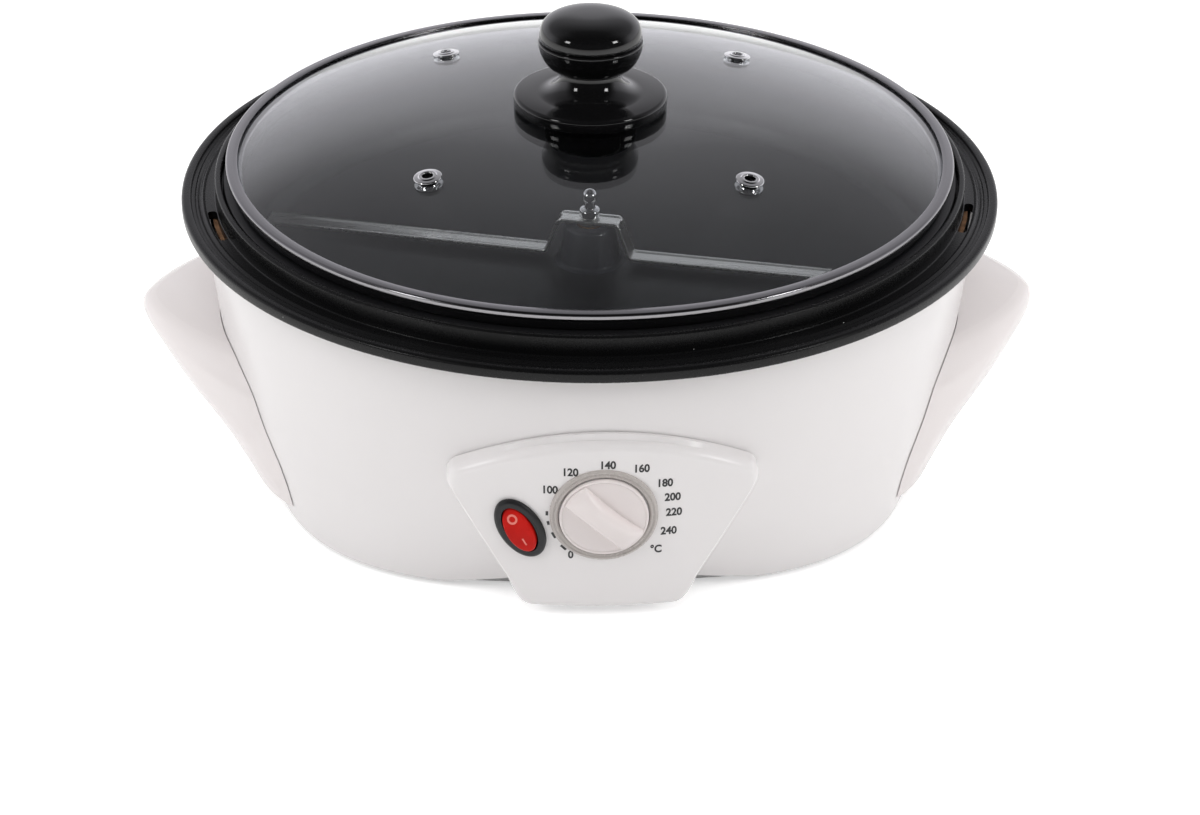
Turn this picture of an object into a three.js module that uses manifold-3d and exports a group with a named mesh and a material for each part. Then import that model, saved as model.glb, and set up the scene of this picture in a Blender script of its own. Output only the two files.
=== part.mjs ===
// Home coffee bean roaster: a shallow coated pan with a turning stirrer over a ring heater and a geared
// motor, in a white moulded body with a black rim ring, side handles, a front control panel and a glass lid
// that lifts off.
// Millimetres, +Z up. The control panel faces -Y. The origin is on the ground, on the pan's axis.
import * as THREE from 'three';
import { mergeVertices } from 'three/addons/utils/BufferGeometryUtils.js';
import Module from 'manifold-3d';

const wasm = await Module();
wasm.setup();

// Fits and mesh fineness
const gap = 0.3;
const overrun = 2;
const mergeStep = 0.0001;
const roundSteps = 56;
const middleSteps = 24;
const smallSteps = 12;

// Levels of the body
const footHeight = 2;
const ringBottom = 102;
const shellBottom = footHeight;
const shellTop = ringBottom - gap;

// Pan
const panThickness = 2;
const panRimTop = 111.8;
const panMouthRadius = 136;
const panRimWidth = 5.5;
const panRimRadius = panMouthRadius + panRimWidth;
const panWallSlant = 1.2;
const panWallFootRadius = panMouthRadius - panWallSlant;
const panWallFootHeight = 75;
const panFootRound = 3.3;
const panFloorRadius = panWallFootRadius - panFootRound;
const panFloor = 69.7;
const hubFootRadius = 12.2;
const hubTopRadius = 9.7;
const hubTop = 85;
const hubWall = 2.5;

// Rim ring, worked outwards from the pan's rim
const ringEdgeTop = 106.5;
const ringEdgeChamfer = 0.8;
const ringFlangeTop = 105;
const lipTop = 113;
const lipClearance = 0.5;
const lipWidth = 2.5;
const lipInnerRadius = panRimRadius + lipClearance;
const lipOuterRadius = lipInnerRadius + lipWidth;
const slotMargin = 0.4;
const slotWidth = 3.4;
const slotInnerRadius = lipOuterRadius + slotMargin;
const slotOuterRadius = slotInnerRadius + slotWidth;
const slotCentreAngle = THREE.MathUtils.degToRad(15.5);
const slotHalfAngle = THREE.MathUtils.degToRad(5);
const shelfWidth = 5.5;
const beadWidth = 3.7;
const ringBeadInner = slotOuterRadius + shelfWidth;
const ringRadius = ringBeadInner + beadWidth;

// Body shell
const ringOverhang = 7.5;
const shellTopRadius = ringRadius - ringOverhang;
const creaseInset = 7;
const creaseRadius = shellTopRadius - creaseInset;
const creaseHeight = 29;
const baseInsetX = 17;
const baseInsetY = 12;
const baseHalfX = creaseRadius - baseInsetX;
const baseHalfY = creaseRadius - baseInsetY;
const baseExponent = 3;
const shellWall = 2.5;
const archRise = 5;
const archTopHalf = 30;
const archFootHalf = 58;
const shortArcSteps = 4;

// Stack that the rim ring clamps: shell ledge, shield flange, fibre gasket
const flangeThickness = 1;
const gasketThickness = 1;
const gasketTop = ringBottom - gap;
const gasketLow = gasketTop - gasketThickness;
const flangeTop = gasketLow - gap;
const flangeLow = flangeTop - flangeThickness;
const ledgeTop = flangeLow - gap;
const ledgeHeight = 5;
const ledgeLip = 1.5;
const flangeInset = 3.5;
const flangeWidth = 3;
const flangeRadius = shellTopRadius - flangeInset;
const ledgeInnerRadius = flangeRadius - flangeWidth;

// Drive line
const shaftRadius = 3;
const bushWall = 1.7;
const bushFlangeRadius = 6.4;
const bushFlangeThickness = 1.5;
const shaftCollarRadius = 4.4;
const shaftCollarThickness = 0.6;
const nutRadius = 4.2;
const nutHeight = 3.5;
const nutNeckRadius = 2.1;
const nutNeckHeight = 2.6;
const nutBallRadius = 3.05;
const nutTopWall = 1.3;

// Stirrer
const stirrerThickness = 1.2;
const stirrerWidth = 9;
const stirrerTipGap = 2.9;
const stirrerReach = panWallFootRadius - stirrerTipGap;
const stirrerLift = 2.7;
const stirrerTopHalf = 12;
const stirrerFootHalf = 17.2;
const stirrerTurn = THREE.MathUtils.degToRad(-14.2);

// Heat shield, heater, motor
const shieldThickness = flangeThickness;
const shieldDepth = 12;
const shieldWallSpace = 3.3;
const shieldWallTopRadius = panMouthRadius + panThickness + shieldWallSpace;
const shieldWallSlant = 1.8;
const shieldWallFootRadius = shieldWallTopRadius - shieldWallSlant;
const shieldWallFootHeight = 69;
const shieldFootRound = 13.5;
const shieldFloorRadius = shieldWallFootRadius - shieldFootRound;
const shieldHoleRadius = 8;
const tubeClearance = 1;
const heaterTubeRadius = 3.2;
const heaterRadius = 88;
const heaterGapAngle = THREE.MathUtils.degToRad(24);
const heaterBendHeight = 5;
const heaterTail = 18;
const bracketWidth = 12;
const bracketDepth = 8;
const bracketCount = 3;
const gearboxRadius = 26;
const gearboxHeight = 18;
const earRadius = 5.5;
const earOffset = 31;
const gearboxBoreDepth = 13;
const motorRadius = 29;
const motorHeight = 22;
const motorCapRadius = 11;
const motorCapHeight = 4;

// Fasteners
const screwRadius = 1.5;
const screwHeadRadius = 3.4;
const screwHeadHeight = 1.4;
const screwGrip = 9;

// Base tray, feet
const trayThickness = 1.5;
const trayRim = 8;
const footRadius = 7;
const footNeckRadius = 2.7;
const footHeadRadius = 4;
const footHeadHeight = 1.4;
const footOutset = 2;
const footOffset = baseHalfX + footOutset;
const bossRadius = 5;
const bossFootSpace = 20;
const bossOffset = footOffset - bossFootSpace;
const bossHeight = 22;
const ribWidth = 4;
const ventCount = 5;
const ventPitch = 12;
const ventLength = 34;
const ventWidth = 5;
const ventOffset = 62;

// Lid
const bandInset = 1.5;
const bandRadius = panRimRadius - bandInset;
const bandGlassSpace = 2.5;
const glassRadius = bandRadius - bandGlassSpace;
const glassThickness = 4;
const glassCrown = 136;
const glassDrop = 18.8;
const glassExponent = 2.84;
const glassHoleRadius = 3.8;
const bandSheet = 0.8;
const bandLap = 4.4;
const bandFootLap = 7;
const bandSkirt = 5.5;
const grommetOrbit = 83;
const grommetCount = 4;
const grommetRadius = 5.3;
const grommetNeckRadius = 3.5;
const grommetBore = 2.1;
const grommetFlange = 1.2;
const grommetTurn = THREE.MathUtils.degToRad(-2.5);

// Lid knob
const knobDiscRadius = 29.5;
const knobDiscHeight = 5.1;
const knobDiscEdge = 0.9;
const knobNeckRadius = 12;
const knobNeckLength = 11.6;
const knobFlareRadius = 16.5;
const knobBowlHeight = 8.8;
const knobHeadRadius = 20;
const knobCapHeight = 12.2;
const seatRadius = 17.5;
const seatHeight = 13.4;
const seatEdge = 3;
const knobScrewRadius = 3;
const knobScrewHeadRadius = 6;
const knobScrewHeadHeight = 3;
const knobScrewCover = 8;

// Control panel, in its own frame: x to the right, y up, z out of the face, zero at the dial's centre
const panelStandOff = 1.4;
const panelReach = shellTopRadius + panelStandOff;
const panelHeight = 45.8;
const panelTilt = THREE.MathUtils.degToRad(3);
const panelCurve = 195;
const panelHalf = 55;
const panelTop = 29.2;
const panelTopFall = 15.5;
const panelRearTop = 31.6;
const panelRearFall = 18.3;
const panelShoulder = 7.2;
const panelCorner = 4;
const panelFootHalf = 33.2;
const panelFootFlat = 24;
const panelFootRise = 10;
const panelBottom = -41.8;
const panelEdge = 3.5;
const panelEdgeMaxShare = 0.4;
const panelWall = 2.2;
const panelDepth = 34;
const dialRingOuter = 19;
const dialRingInner = 16.4;
const dialRingHeight = 2.6;

// Dial knob and thermostat
const dialRadius = 15.8;
const dialHeight = 5.5;
const dialEdge = 1.2;
const gripHalfLength = 14.4;
const gripHalfEnd = 5.4;
const gripHalfWaist = 3.9;
const gripTop = 10.2;
const dialTurn = THREE.MathUtils.degToRad(47);
const spindleRadius = 3;
const thermostatWidth = 28;
const thermostatHeight = 26;
const thermostatDepth = 17;
const thermostatBore = 10;

// Rocker switch, square to the panel's curved face and leaning with the panel's side
const switchX = -29.3;
const switchY = -6.2;
const switchLean = THREE.MathUtils.degToRad(28);
const switchFlangeHalfX = 8;
const switchFlangeHalfY = 12.8;
const switchFlangeHeight = 2;
const switchNeckInset = 1;
const switchNeckDepth = 6;
const rockerHalfX = 5.5;
const rockerHalfY = 10.2;
const rockerLow = -3;
const rockerHigh = 3.6;
const rockerCrown = 1.4;
const rockerPlay = 0.5;
const passageClearance = 1;
const rockerTilt = THREE.MathUtils.degToRad(-7);
const switchBodyWidth = 12;
const switchBodyHeight = 20;
const switchBodyDepth = 12;

// Side handles
const handleBottom = 7;
const handleTop = 58;
const handleOverhang = 31.7;
const handleHalfWidth = 89.6;
const handleRoot = 43;
const handleInner = creaseRadius - handleRoot;
const handleWall = 2.5;
const handleSteps = 16;
// Each row is height, overhang past the body and half width as shares of the handle's own sizes, then
// the exponent that squares the row's outline where it is over two and points it where it is under
const handleRowShares = [
  [0, 0.267, 1, 2.13],
  [0.137, 0.313, 0.975, 2.05],
  [0.392, 0.426, 0.923, 1.95],
  [0.608, 0.688, 0.866, 1.88],
  [0.784, 0.867, 0.83, 1.8],
  [0.892, 1, 0.8, 1.6],
  [0.968, 0.954, 0.765, 1.5],
  [1, 0.864, 0.73, 1.5],
];
const handleScrewAngle = THREE.MathUtils.degToRad(12);
const handleScrewHeight = 38;
const handleBossRadius = 4.5;
const handleBossLength = 14;

// Mains entry and wiring pieces inside
const glandHeight = 41.8;
const glandFlangeRadius = 8.5;
const glandNeckRadius = 6;
const glandBore = 3.6;
const glandFlange = 2;
const terminalWidth = 30;
const terminalDepth = 14;
const terminalHeight = 11;
const terminalInset = 35;
const terminalOffset = baseHalfY - terminalInset;
const terminalWellCount = 3;
const terminalWellRadius = 2.4;
const terminalWellDepth = 5;
const fuseRadius = 2.2;
const fuseLength = 14;
const fuseOffset = 58;

// Finishes
function finish(color, roughness, metalness) {
  return new THREE.MeshStandardMaterial({ color, roughness, metalness });
}
const whitePlastic = finish(0xe8e4e3, 0.3, 0);
const blackPlastic = finish(0x1b1b1d, 0.45, 0);
const glossBlack = finish(0x0d0d0e, 0.12, 0);
const panCoating = finish(0x2a2a2d, 0.5, 0.1);
const steel = finish(0xb9b6b2, 0.25, 0.9);
const sheetMetal = finish(0xa7a6a3, 0.45, 0.85);
const blackSheet = finish(0x161617, 0.55, 0.2);
const bronze = finish(0x9a6a3a, 0.4, 0.8);
const fibre = finish(0x8a5f3c, 0.85, 0);
const rubber = finish(0x202020, 0.9, 0);
const insulator = finish(0xe9e2d2, 0.6, 0);
const redPlastic = finish(0xc81e1a, 0.2, 0);
const glass = finish(0x8c9094, 0.05, 0);

// Shape helpers
function lathe(points, steps) {
  const profile = points.map(([radius, height]) => new THREE.Vector2(radius, height));
  const shape = new THREE.LatheGeometry(profile, steps);
  shape.rotateX(Math.PI / 2);
  return shape;
}

function closedLathe(points, steps) {
  return lathe([...points, points[0]], steps);
}

function cylinder(radius, low, high, steps) {
  return lathe([[0, low], [radius, low], [radius, high], [0, high]], steps);
}

function tubeRing(inner, outer, low, high, steps) {
  return closedLathe([[inner, low], [outer, low], [outer, high], [inner, high]], steps);
}

function block(width, depth, low, high) {
  const shape = new THREE.BoxGeometry(width, depth, high - low);
  shape.translate(0, 0, (low + high) / 2);
  return shape;
}

function prism(shape, low, high, steps) {
  const body = new THREE.ExtrudeGeometry(shape, {
    depth: high - low,
    bevelEnabled: false,
    curveSegments: steps,
  });
  body.translate(0, 0, low);
  return body;
}

function ovalShape(halfX, halfY) {
  const shape = new THREE.Shape();
  shape.absellipse(0, 0, halfX, halfY, 0, 2 * Math.PI, false, 0);
  return shape;
}

// Closed skin through rings of points, each ring anticlockwise seen from above, lowest ring first
function loft(rings) {
  const count = rings[0].length;
  const places = rings.flat().flatMap((point) => [point.x, point.y, point.z]);
  const faces = [];
  for (let row = 0; row + 1 < rings.length; row += 1) {
    for (let step = 0; step < count; step += 1) {
      const next = (step + 1) % count;
      const low = row * count;
      const high = low + count;
      faces.push(low + step, low + next, high + next);
      faces.push(low + step, high + next, high + step);
    }
  }
  const ends = [rings[0], rings[rings.length - 1]];
  ends.forEach((ring, end) => {
    const centre = new THREE.Vector3();
    ring.forEach((point) => centre.add(point));
    centre.divideScalar(count);
    const hub = places.length / 3;
    places.push(centre.x, centre.y, centre.z);
    const first = end === 0 ? 0 : (rings.length - 1) * count;
    for (let step = 0; step < count; step += 1) {
      const next = (step + 1) % count;
      const pair = end === 0 ? [first + next, first + step] : [first + step, first + next];
      faces.push(hub, ...pair);
    }
  });
  const shape = new THREE.BufferGeometry();
  shape.setAttribute('position', new THREE.Float32BufferAttribute(places, 3));
  shape.setIndex(faces);
  return shape;
}

// Boolean helpers
function solidOf(shape) {
  const bare = new THREE.BufferGeometry();
  bare.setAttribute('position', shape.getAttribute('position').clone());
  if (shape.index) {
    bare.setIndex(shape.index.clone());
  }
  const merged = mergeVertices(bare, mergeStep);
  const corners = Array.from(merged.index.array);
  const kept = [];
  for (let first = 0; first < corners.length; first += 3) {
    const [a, b, c] = corners.slice(first, first + 3);
    if (a !== b && b !== c && c !== a) {
      kept.push(a, b, c);
    }
  }
  const vertProperties = new Float32Array(merged.getAttribute('position').array);
  const triVerts = new Uint32Array(kept);
  return new wasm.Manifold(new wasm.Mesh({ numProp: 3, vertProperties, triVerts }));
}

function shapeOf(solid) {
  const mesh = solid.getMesh();
  const shape = new THREE.BufferGeometry();
  shape.setAttribute('position', new THREE.Float32BufferAttribute(mesh.vertProperties, 3));
  shape.setIndex(Array.from(mesh.triVerts));
  shape.computeVertexNormals();
  return shape;
}

function cut(shape, tools) {
  return shapeOf(tools.reduce((solid, tool) => solid.subtract(solidOf(tool)), solidOf(shape)));
}

function join(shape, others) {
  return shapeOf(others.reduce((solid, other) => solid.add(solidOf(other)), solidOf(shape)));
}

function common(shape, other) {
  return shapeOf(solidOf(shape).intersect(solidOf(other)));
}

function moved(shape, frame) {
  return shape.clone().applyMatrix4(frame);
}

function shifted(shape, x, y, z) {
  return shape.clone().translate(x, y, z);
}

// Frame on the body's upper wall, its z axis pointing straight out of the wall
const wallSlope = Math.atan2(shellTopRadius - creaseRadius, shellTop - creaseHeight);
function wallRadius(height) {
  const share = (height - creaseHeight) / (shellTop - creaseHeight);
  return THREE.MathUtils.lerp(creaseRadius, shellTopRadius, share);
}

function wallFrame(azimuth, height) {
  const frame = new THREE.Matrix4().makeRotationZ(azimuth);
  frame.multiply(new THREE.Matrix4().makeRotationY(Math.PI / 2 + wallSlope));
  const radius = wallRadius(height);
  frame.setPosition(radius * Math.cos(azimuth), radius * Math.sin(azimuth), height);
  return frame;
}

// Outer form of the body: round at the top, a rounded square at the ground
function baseRadius(azimuth) {
  const x = Math.abs(Math.cos(azimuth)) / baseHalfX;
  const y = Math.abs(Math.sin(azimuth)) / baseHalfY;
  return (x ** baseExponent + y ** baseExponent) ** (-1 / baseExponent);
}

function formRadius(azimuth, height) {
  if (height >= creaseHeight) {
    return wallRadius(Math.min(height, shellTop));
  }
  const share = (creaseHeight - Math.max(height, shellBottom)) / (creaseHeight - shellBottom);
  return THREE.MathUtils.lerp(creaseRadius, baseRadius(azimuth), share);
}

function bodyForm(grow, low, high) {
  const heights = [low, shellBottom, creaseHeight, shellTop, high];
  const distinct = heights.filter((height, place) => place === 0 || height > heights[place - 1]);
  return loft(distinct.map((height) => {
    const ring = [];
    for (let step = 0; step < roundSteps; step += 1) {
      const azimuth = (2 * Math.PI * step) / roundSteps;
      const radius = formRadius(azimuth, height) + grow;
      ring.push(new THREE.Vector3(radius * Math.cos(azimuth), radius * Math.sin(azimuth), height));
    }
    return ring;
  }));
}

function baseOutline(inset) {
  const points = [];
  for (let step = 0; step < roundSteps; step += 1) {
    const azimuth = (2 * Math.PI * step) / roundSteps;
    const radius = baseRadius(azimuth) - inset;
    points.push(new THREE.Vector2(radius * Math.cos(azimuth), radius * Math.sin(azimuth)));
  }
  return new THREE.Shape(points);
}

// The four corners that carry the feet and the tray's screws
const cornerAngles = [0, 1, 2, 3].map((turn) => Math.PI / 4 + (turn * Math.PI) / 2);
function atCorner(shape, azimuth, offset) {
  return shifted(shape, offset * Math.cos(azimuth), offset * Math.sin(azimuth), 0);
}

// Control panel frame
const panelFrame = new THREE.Matrix4().makeRotationX(Math.PI / 2 + panelTilt);
panelFrame.setPosition(0, -panelReach, panelHeight);
const panelFrameBack = panelFrame.clone().invert();

// How far the panel's curved face falls back beside its middle
function panelFall(x) {
  return panelCurve - Math.sqrt(panelCurve ** 2 - x ** 2);
}

const switchFrame = new THREE.Matrix4().makeRotationY(Math.asin(switchX / panelCurve));
switchFrame.multiply(new THREE.Matrix4().makeRotationZ(switchLean));
switchFrame.setPosition(switchX, switchY, -panelFall(switchX));
const switchBodyTop = -switchNeckDepth - gap;
const thermostatTop = -panelWall - gap - panelFall(thermostatWidth / 2);

// Openings of the shell behind the panel, one for the thermostat and one for the switch
function panelPassages(grow) {
  const thermostatHole = block(
    thermostatWidth + 2 * grow,
    thermostatHeight + 2 * grow,
    thermostatTop - 2 * panelDepth,
    0,
  );
  const switchHole = block(
    switchBodyWidth + 2 * grow,
    switchBodyHeight + 2 * grow,
    switchBodyTop - 2 * panelDepth,
    0,
  );
  switchHole.applyMatrix4(switchFrame);
  return [thermostatHole, switchHole].map((hole) => moved(hole, panelFrame));
}

const screwHole = screwRadius + gap;
const handleScrews = [0, Math.PI].flatMap((side) => [
  wallFrame(side - handleScrewAngle, handleScrewHeight),
  wallFrame(side + handleScrewAngle, handleScrewHeight),
]);
const glandFrame = wallFrame(Math.PI / 2, glandHeight);

// Piece: body shell with its top ledge, screw bosses, arches and wall openings
const trayTop = shellBottom + trayThickness;
const trayRimTop = shellBottom + trayRim;
function housingShell() {
  const outer = bodyForm(0, shellBottom, shellTop);
  const hollow = bodyForm(-shellWall, shellBottom - overrun, shellTop + overrun);
  const ledge = closedLathe([
    [ledgeInnerRadius, ledgeTop - ledgeLip],
    [wallRadius(ledgeTop) - shellWall, ledgeTop - ledgeHeight],
    [wallRadius(ledgeTop) - shellWall / 2, ledgeTop - ledgeHeight],
    [wallRadius(ledgeTop) - shellWall / 2, ledgeTop],
    [ledgeInnerRadius, ledgeTop],
  ], roundSteps);
  const bosses = [];
  const bores = [];
  const bossTop = trayTop + gap + bossHeight;
  cornerAngles.forEach((azimuth) => {
    bosses.push(atCorner(cylinder(bossRadius, trayTop + gap, bossTop, smallSteps), azimuth, bossOffset));
    const reach = formRadius(azimuth, bossTop) - shellWall / 2 - bossOffset;
    const rib = block(reach, ribWidth, trayRimTop + gap, bossTop);
    rib.translate(bossOffset + reach / 2, 0, 0);
    rib.rotateZ(azimuth);
    bosses.push(rib);
    const bore = cylinder(screwHole, shellBottom - overrun, trayTop + screwGrip + overrun, smallSteps);
    bores.push(atCorner(bore, azimuth, bossOffset));
  });
  const arch = new THREE.Shape([
    new THREE.Vector2(-archFootHalf, shellBottom),
    new THREE.Vector2(-archFootHalf, shellBottom - overrun),
    new THREE.Vector2(archFootHalf, shellBottom - overrun),
    new THREE.Vector2(archFootHalf, shellBottom),
    new THREE.Vector2(archTopHalf, shellBottom + archRise),
    new THREE.Vector2(-archTopHalf, shellBottom + archRise),
  ]);
  const archCut = prism(arch, -shellTopRadius, shellTopRadius, smallSteps);
  archCut.rotateX(Math.PI / 2);
  const wallHole = cylinder(screwHole, -shellWall - overrun, overrun, smallSteps);
  const glandHole = cylinder(glandNeckRadius + gap, -shellWall - overrun, overrun, middleSteps);
  const tools = [
    ...bores,
    archCut,
    ...handleScrews.map((frame) => moved(wallHole, frame)),
    moved(glandHole, glandFrame),
    ...panelPassages(passageClearance),
  ];
  return cut(join(cut(outer, [hollow]), [ledge, ...bosses]), tools);
}

// Piece: shallow base tray with feet holes, screw holes and vents
function baseTray() {
  const inset = shellWall + 2 * gap;
  const slab = prism(baseOutline(inset), shellBottom, trayRimTop, smallSteps);
  const hollow = prism(baseOutline(inset + trayThickness), trayTop, trayRimTop + overrun, smallSteps);
  const through = [shellBottom - overrun, trayTop + overrun];
  const tools = [hollow];
  cornerAngles.forEach((azimuth) => {
    tools.push(atCorner(cylinder(footNeckRadius + gap, ...through, smallSteps), azimuth, footOffset));
    tools.push(atCorner(cylinder(screwHole, ...through, smallSteps), azimuth, bossOffset));
  });
  for (let row = 0; row < ventCount; row += 1) {
    const place = (row - (ventCount - 1) / 2) * ventPitch;
    [-ventOffset, ventOffset].forEach((x) => {
      tools.push(shifted(block(ventLength, ventWidth, ...through), x, place, 0));
    });
  }
  return cut(slab, tools);
}

// Piece: rubber foot with a snap head above the tray's floor
function foot() {
  const shoulder = footHeight - gap;
  const headLow = trayTop + gap;
  return lathe([
    [0, 0],
    [footRadius, 0],
    [footRadius, shoulder],
    [footNeckRadius, shoulder],
    [footNeckRadius, headLow],
    [footHeadRadius, headLow],
    [footNeckRadius, headLow + footHeadHeight],
    [0, headLow + footHeadHeight],
  ], smallSteps);
}

// Piece: screw along z with its head's underside at zero and its shank upwards
function screw(length) {
  const crown = screwHeadHeight / 3;
  return lathe([
    [0, -screwHeadHeight],
    [screwHeadRadius - crown, -screwHeadHeight],
    [screwHeadRadius, -screwHeadHeight + crown],
    [screwHeadRadius, 0],
    [screwRadius, 0],
    [screwRadius, length - screwRadius],
    [0, length],
  ], smallSteps);
}

// Piece: black rim ring with four air slots
const panRimLow = panRimTop - panThickness;
const panWallTopRadius = panMouthRadius + panThickness;
function rimRing() {
  const shelf = panRimLow - gap;
  const shelfInner = panWallTopRadius + gap;
  const body = closedLathe([
    [shelfInner, ringBottom],
    [ringRadius, ringBottom],
    [ringRadius, ringEdgeTop - ringEdgeChamfer],
    [ringRadius - ringEdgeChamfer, ringEdgeTop],
    [ringBeadInner + ringEdgeChamfer, ringEdgeTop],
    [ringBeadInner, ringEdgeTop - ringEdgeChamfer],
    [ringBeadInner, ringFlangeTop],
    [lipOuterRadius, ringFlangeTop],
    [lipOuterRadius, lipTop],
    [lipInnerRadius, lipTop],
    [lipInnerRadius, shelf],
    [shelfInner, shelf],
  ], roundSteps);
  const slots = [0, Math.PI].flatMap((side) => [-slotCentreAngle, slotCentreAngle].map((turn) => {
    const centre = side + turn;
    const shape = new THREE.Shape();
    shape.absarc(0, 0, slotOuterRadius, centre - slotHalfAngle, centre + slotHalfAngle, false);
    shape.absarc(0, 0, slotInnerRadius, centre + slotHalfAngle, centre - slotHalfAngle, true);
    return prism(shape, ringBottom - overrun, ringFlangeTop + overrun, shortArcSteps);
  }));
  return cut(body, slots);
}

// Piece: coated pan with its raised centre hub
const boreRadius = shaftRadius + gap;
const bushRadius = boreRadius + bushWall;
const hubBore = bushRadius + gap;
const hubUnder = hubTop - hubWall;
const panUnder = panFloor - panThickness;
function pan() {
  return closedLathe([
    [hubFootRadius - hubWall, panUnder],
    [panFloorRadius, panUnder],
    [panWallFootRadius + panThickness, panWallFootHeight - panThickness],
    [panWallTopRadius, panRimLow],
    [panRimRadius, panRimLow],
    [panRimRadius, panRimTop],
    [panMouthRadius, panRimTop],
    [panWallFootRadius, panWallFootHeight],
    [panFloorRadius, panFloor],
    [hubFootRadius, panFloor],
    [hubTopRadius, hubTop],
    [hubBore, hubTop],
    [hubBore, hubUnder],
    [hubTopRadius - hubWall, hubUnder],
  ], roundSteps);
}

// Piece: bronze bush that guides the shaft through the hub
function shaftBush() {
  const flangeHigh = hubUnder - gap;
  return closedLathe([
    [boreRadius, flangeHigh - bushFlangeThickness],
    [bushFlangeRadius, flangeHigh - bushFlangeThickness],
    [bushFlangeRadius, flangeHigh],
    [bushRadius, flangeHigh],
    [bushRadius, hubTop],
    [boreRadius, hubTop],
  ], smallSteps);
}

// Levels of the drive line above the hub
const collarLow = hubTop + gap;
const collarTop = collarLow + shaftCollarThickness;
const stirrerTopLow = collarTop + gap;
const stirrerTopHigh = stirrerTopLow + stirrerThickness;
const nutLow = stirrerTopHigh + gap;
const nutTop = nutLow + nutHeight;
const shaftTop = nutTop - nutTopWall - gap;

// Levels below the pan
const shieldFloorTop = panUnder - shieldDepth;
const shieldFloorLow = shieldFloorTop - shieldThickness;
const gearboxTop = shieldFloorLow - gap;
const gearboxLow = gearboxTop - gearboxHeight;
const motorTop = gearboxLow - gap;
const motorLow = motorTop - motorHeight;

// Piece: drive shaft with the collar that carries the stirrer
function driveShaft() {
  const low = gearboxTop - gearboxBoreDepth + gap;
  return lathe([
    [0, low],
    [shaftRadius, low],
    [shaftRadius, collarLow],
    [shaftCollarRadius, collarLow],
    [shaftCollarRadius, collarTop],
    [shaftRadius, collarTop],
    [shaftRadius, shaftTop],
    [0, shaftTop],
  ], smallSteps);
}

// Piece: stirrer strap, bent over the hub, with two flat wings just above the pan's floor
function stirrer() {
  const wingLow = panFloor + stirrerLift;
  const wingHigh = wingLow + stirrerThickness;
  const tip = stirrerReach;
  const inset = stirrerThickness / 2;
  const right = [
    [stirrerTopHalf, stirrerTopHigh],
    [stirrerFootHalf, wingHigh],
    [tip, wingHigh],
    [tip, wingLow],
    [stirrerFootHalf - inset, wingLow],
    [stirrerTopHalf - inset, stirrerTopLow],
  ];
  const left = right.map(([x, z]) => [-x, z]).reverse();
  const outline = new THREE.Shape([...right, ...left].map(([x, z]) => new THREE.Vector2(x, z)));
  const strap = prism(outline, -stirrerWidth / 2, stirrerWidth / 2, smallSteps);
  strap.rotateX(Math.PI / 2);
  const hole = cylinder(boreRadius, stirrerTopLow - overrun, stirrerTopHigh + overrun, smallSteps);
  return cut(strap, [hole]);
}

// Piece: plated cap nut with a round grip
function stirrerNut() {
  const edge = nutTopWall / 2;
  const neckTop = nutTop + nutNeckHeight;
  const startAngle = Math.asin(nutNeckRadius / nutBallRadius);
  const ballCentre = neckTop + nutBallRadius * Math.cos(startAngle);
  const ball = [];
  for (let step = 0; step <= smallSteps / 2; step += 1) {
    const angle = THREE.MathUtils.lerp(Math.PI - startAngle, 0, (2 * step) / smallSteps);
    ball.push([nutBallRadius * Math.sin(angle), ballCentre + nutBallRadius * Math.cos(angle)]);
  }
  ball[ball.length - 1][0] = 0;
  return lathe([
    [0, shaftTop + gap],
    [boreRadius, shaftTop + gap],
    [boreRadius, nutLow],
    [nutRadius - edge, nutLow],
    [nutRadius, nutLow + edge],
    [nutRadius, nutTop - edge],
    [nutRadius - edge, nutTop],
    [nutNeckRadius, nutTop],
    ...ball,
  ], smallSteps);
}

// Piece: heat shield, a sheet bowl that hangs from the ledge and carries heater and motor
const heaterHeight = panUnder - gap - heaterTubeRadius;
const heaterHalfGap = heaterGapAngle / 2;
const heaterEnds = [-1, 1].map((side) => -Math.PI / 2 + side * heaterHalfGap);
function heatShield() {
  const bowl = closedLathe([
    [shieldHoleRadius, shieldFloorLow],
    [shieldFloorRadius, shieldFloorLow],
    [shieldWallFootRadius, shieldWallFootHeight - shieldThickness],
    [shieldWallTopRadius, flangeLow],
    [flangeRadius, flangeLow],
    [flangeRadius, flangeTop],
    [shieldWallTopRadius - shieldThickness, flangeTop],
    [shieldWallFootRadius - shieldThickness, shieldWallFootHeight],
    [shieldFloorRadius, shieldFloorTop],
    [shieldHoleRadius, shieldFloorTop],
  ], roundSteps);
  const through = [shieldFloorLow - overrun, shieldFloorTop + overrun];
  const tools = [-earOffset, earOffset].map((x) => {
    return shifted(cylinder(screwHole, ...through, smallSteps), x, 0, 0);
  });
  heaterEnds.forEach((angle) => {
    const hole = cylinder(heaterTubeRadius + tubeClearance, ...through, smallSteps);
    tools.push(shifted(hole, heaterRadius * Math.cos(angle), heaterRadius * Math.sin(angle), 0));
  });
  return cut(bowl, tools);
}

// Piece: fibre gasket between the shield's flange and the rim ring
function gasket() {
  return tubeRing(shieldWallTopRadius, flangeRadius, gasketLow, gasketTop, roundSteps);
}

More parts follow.
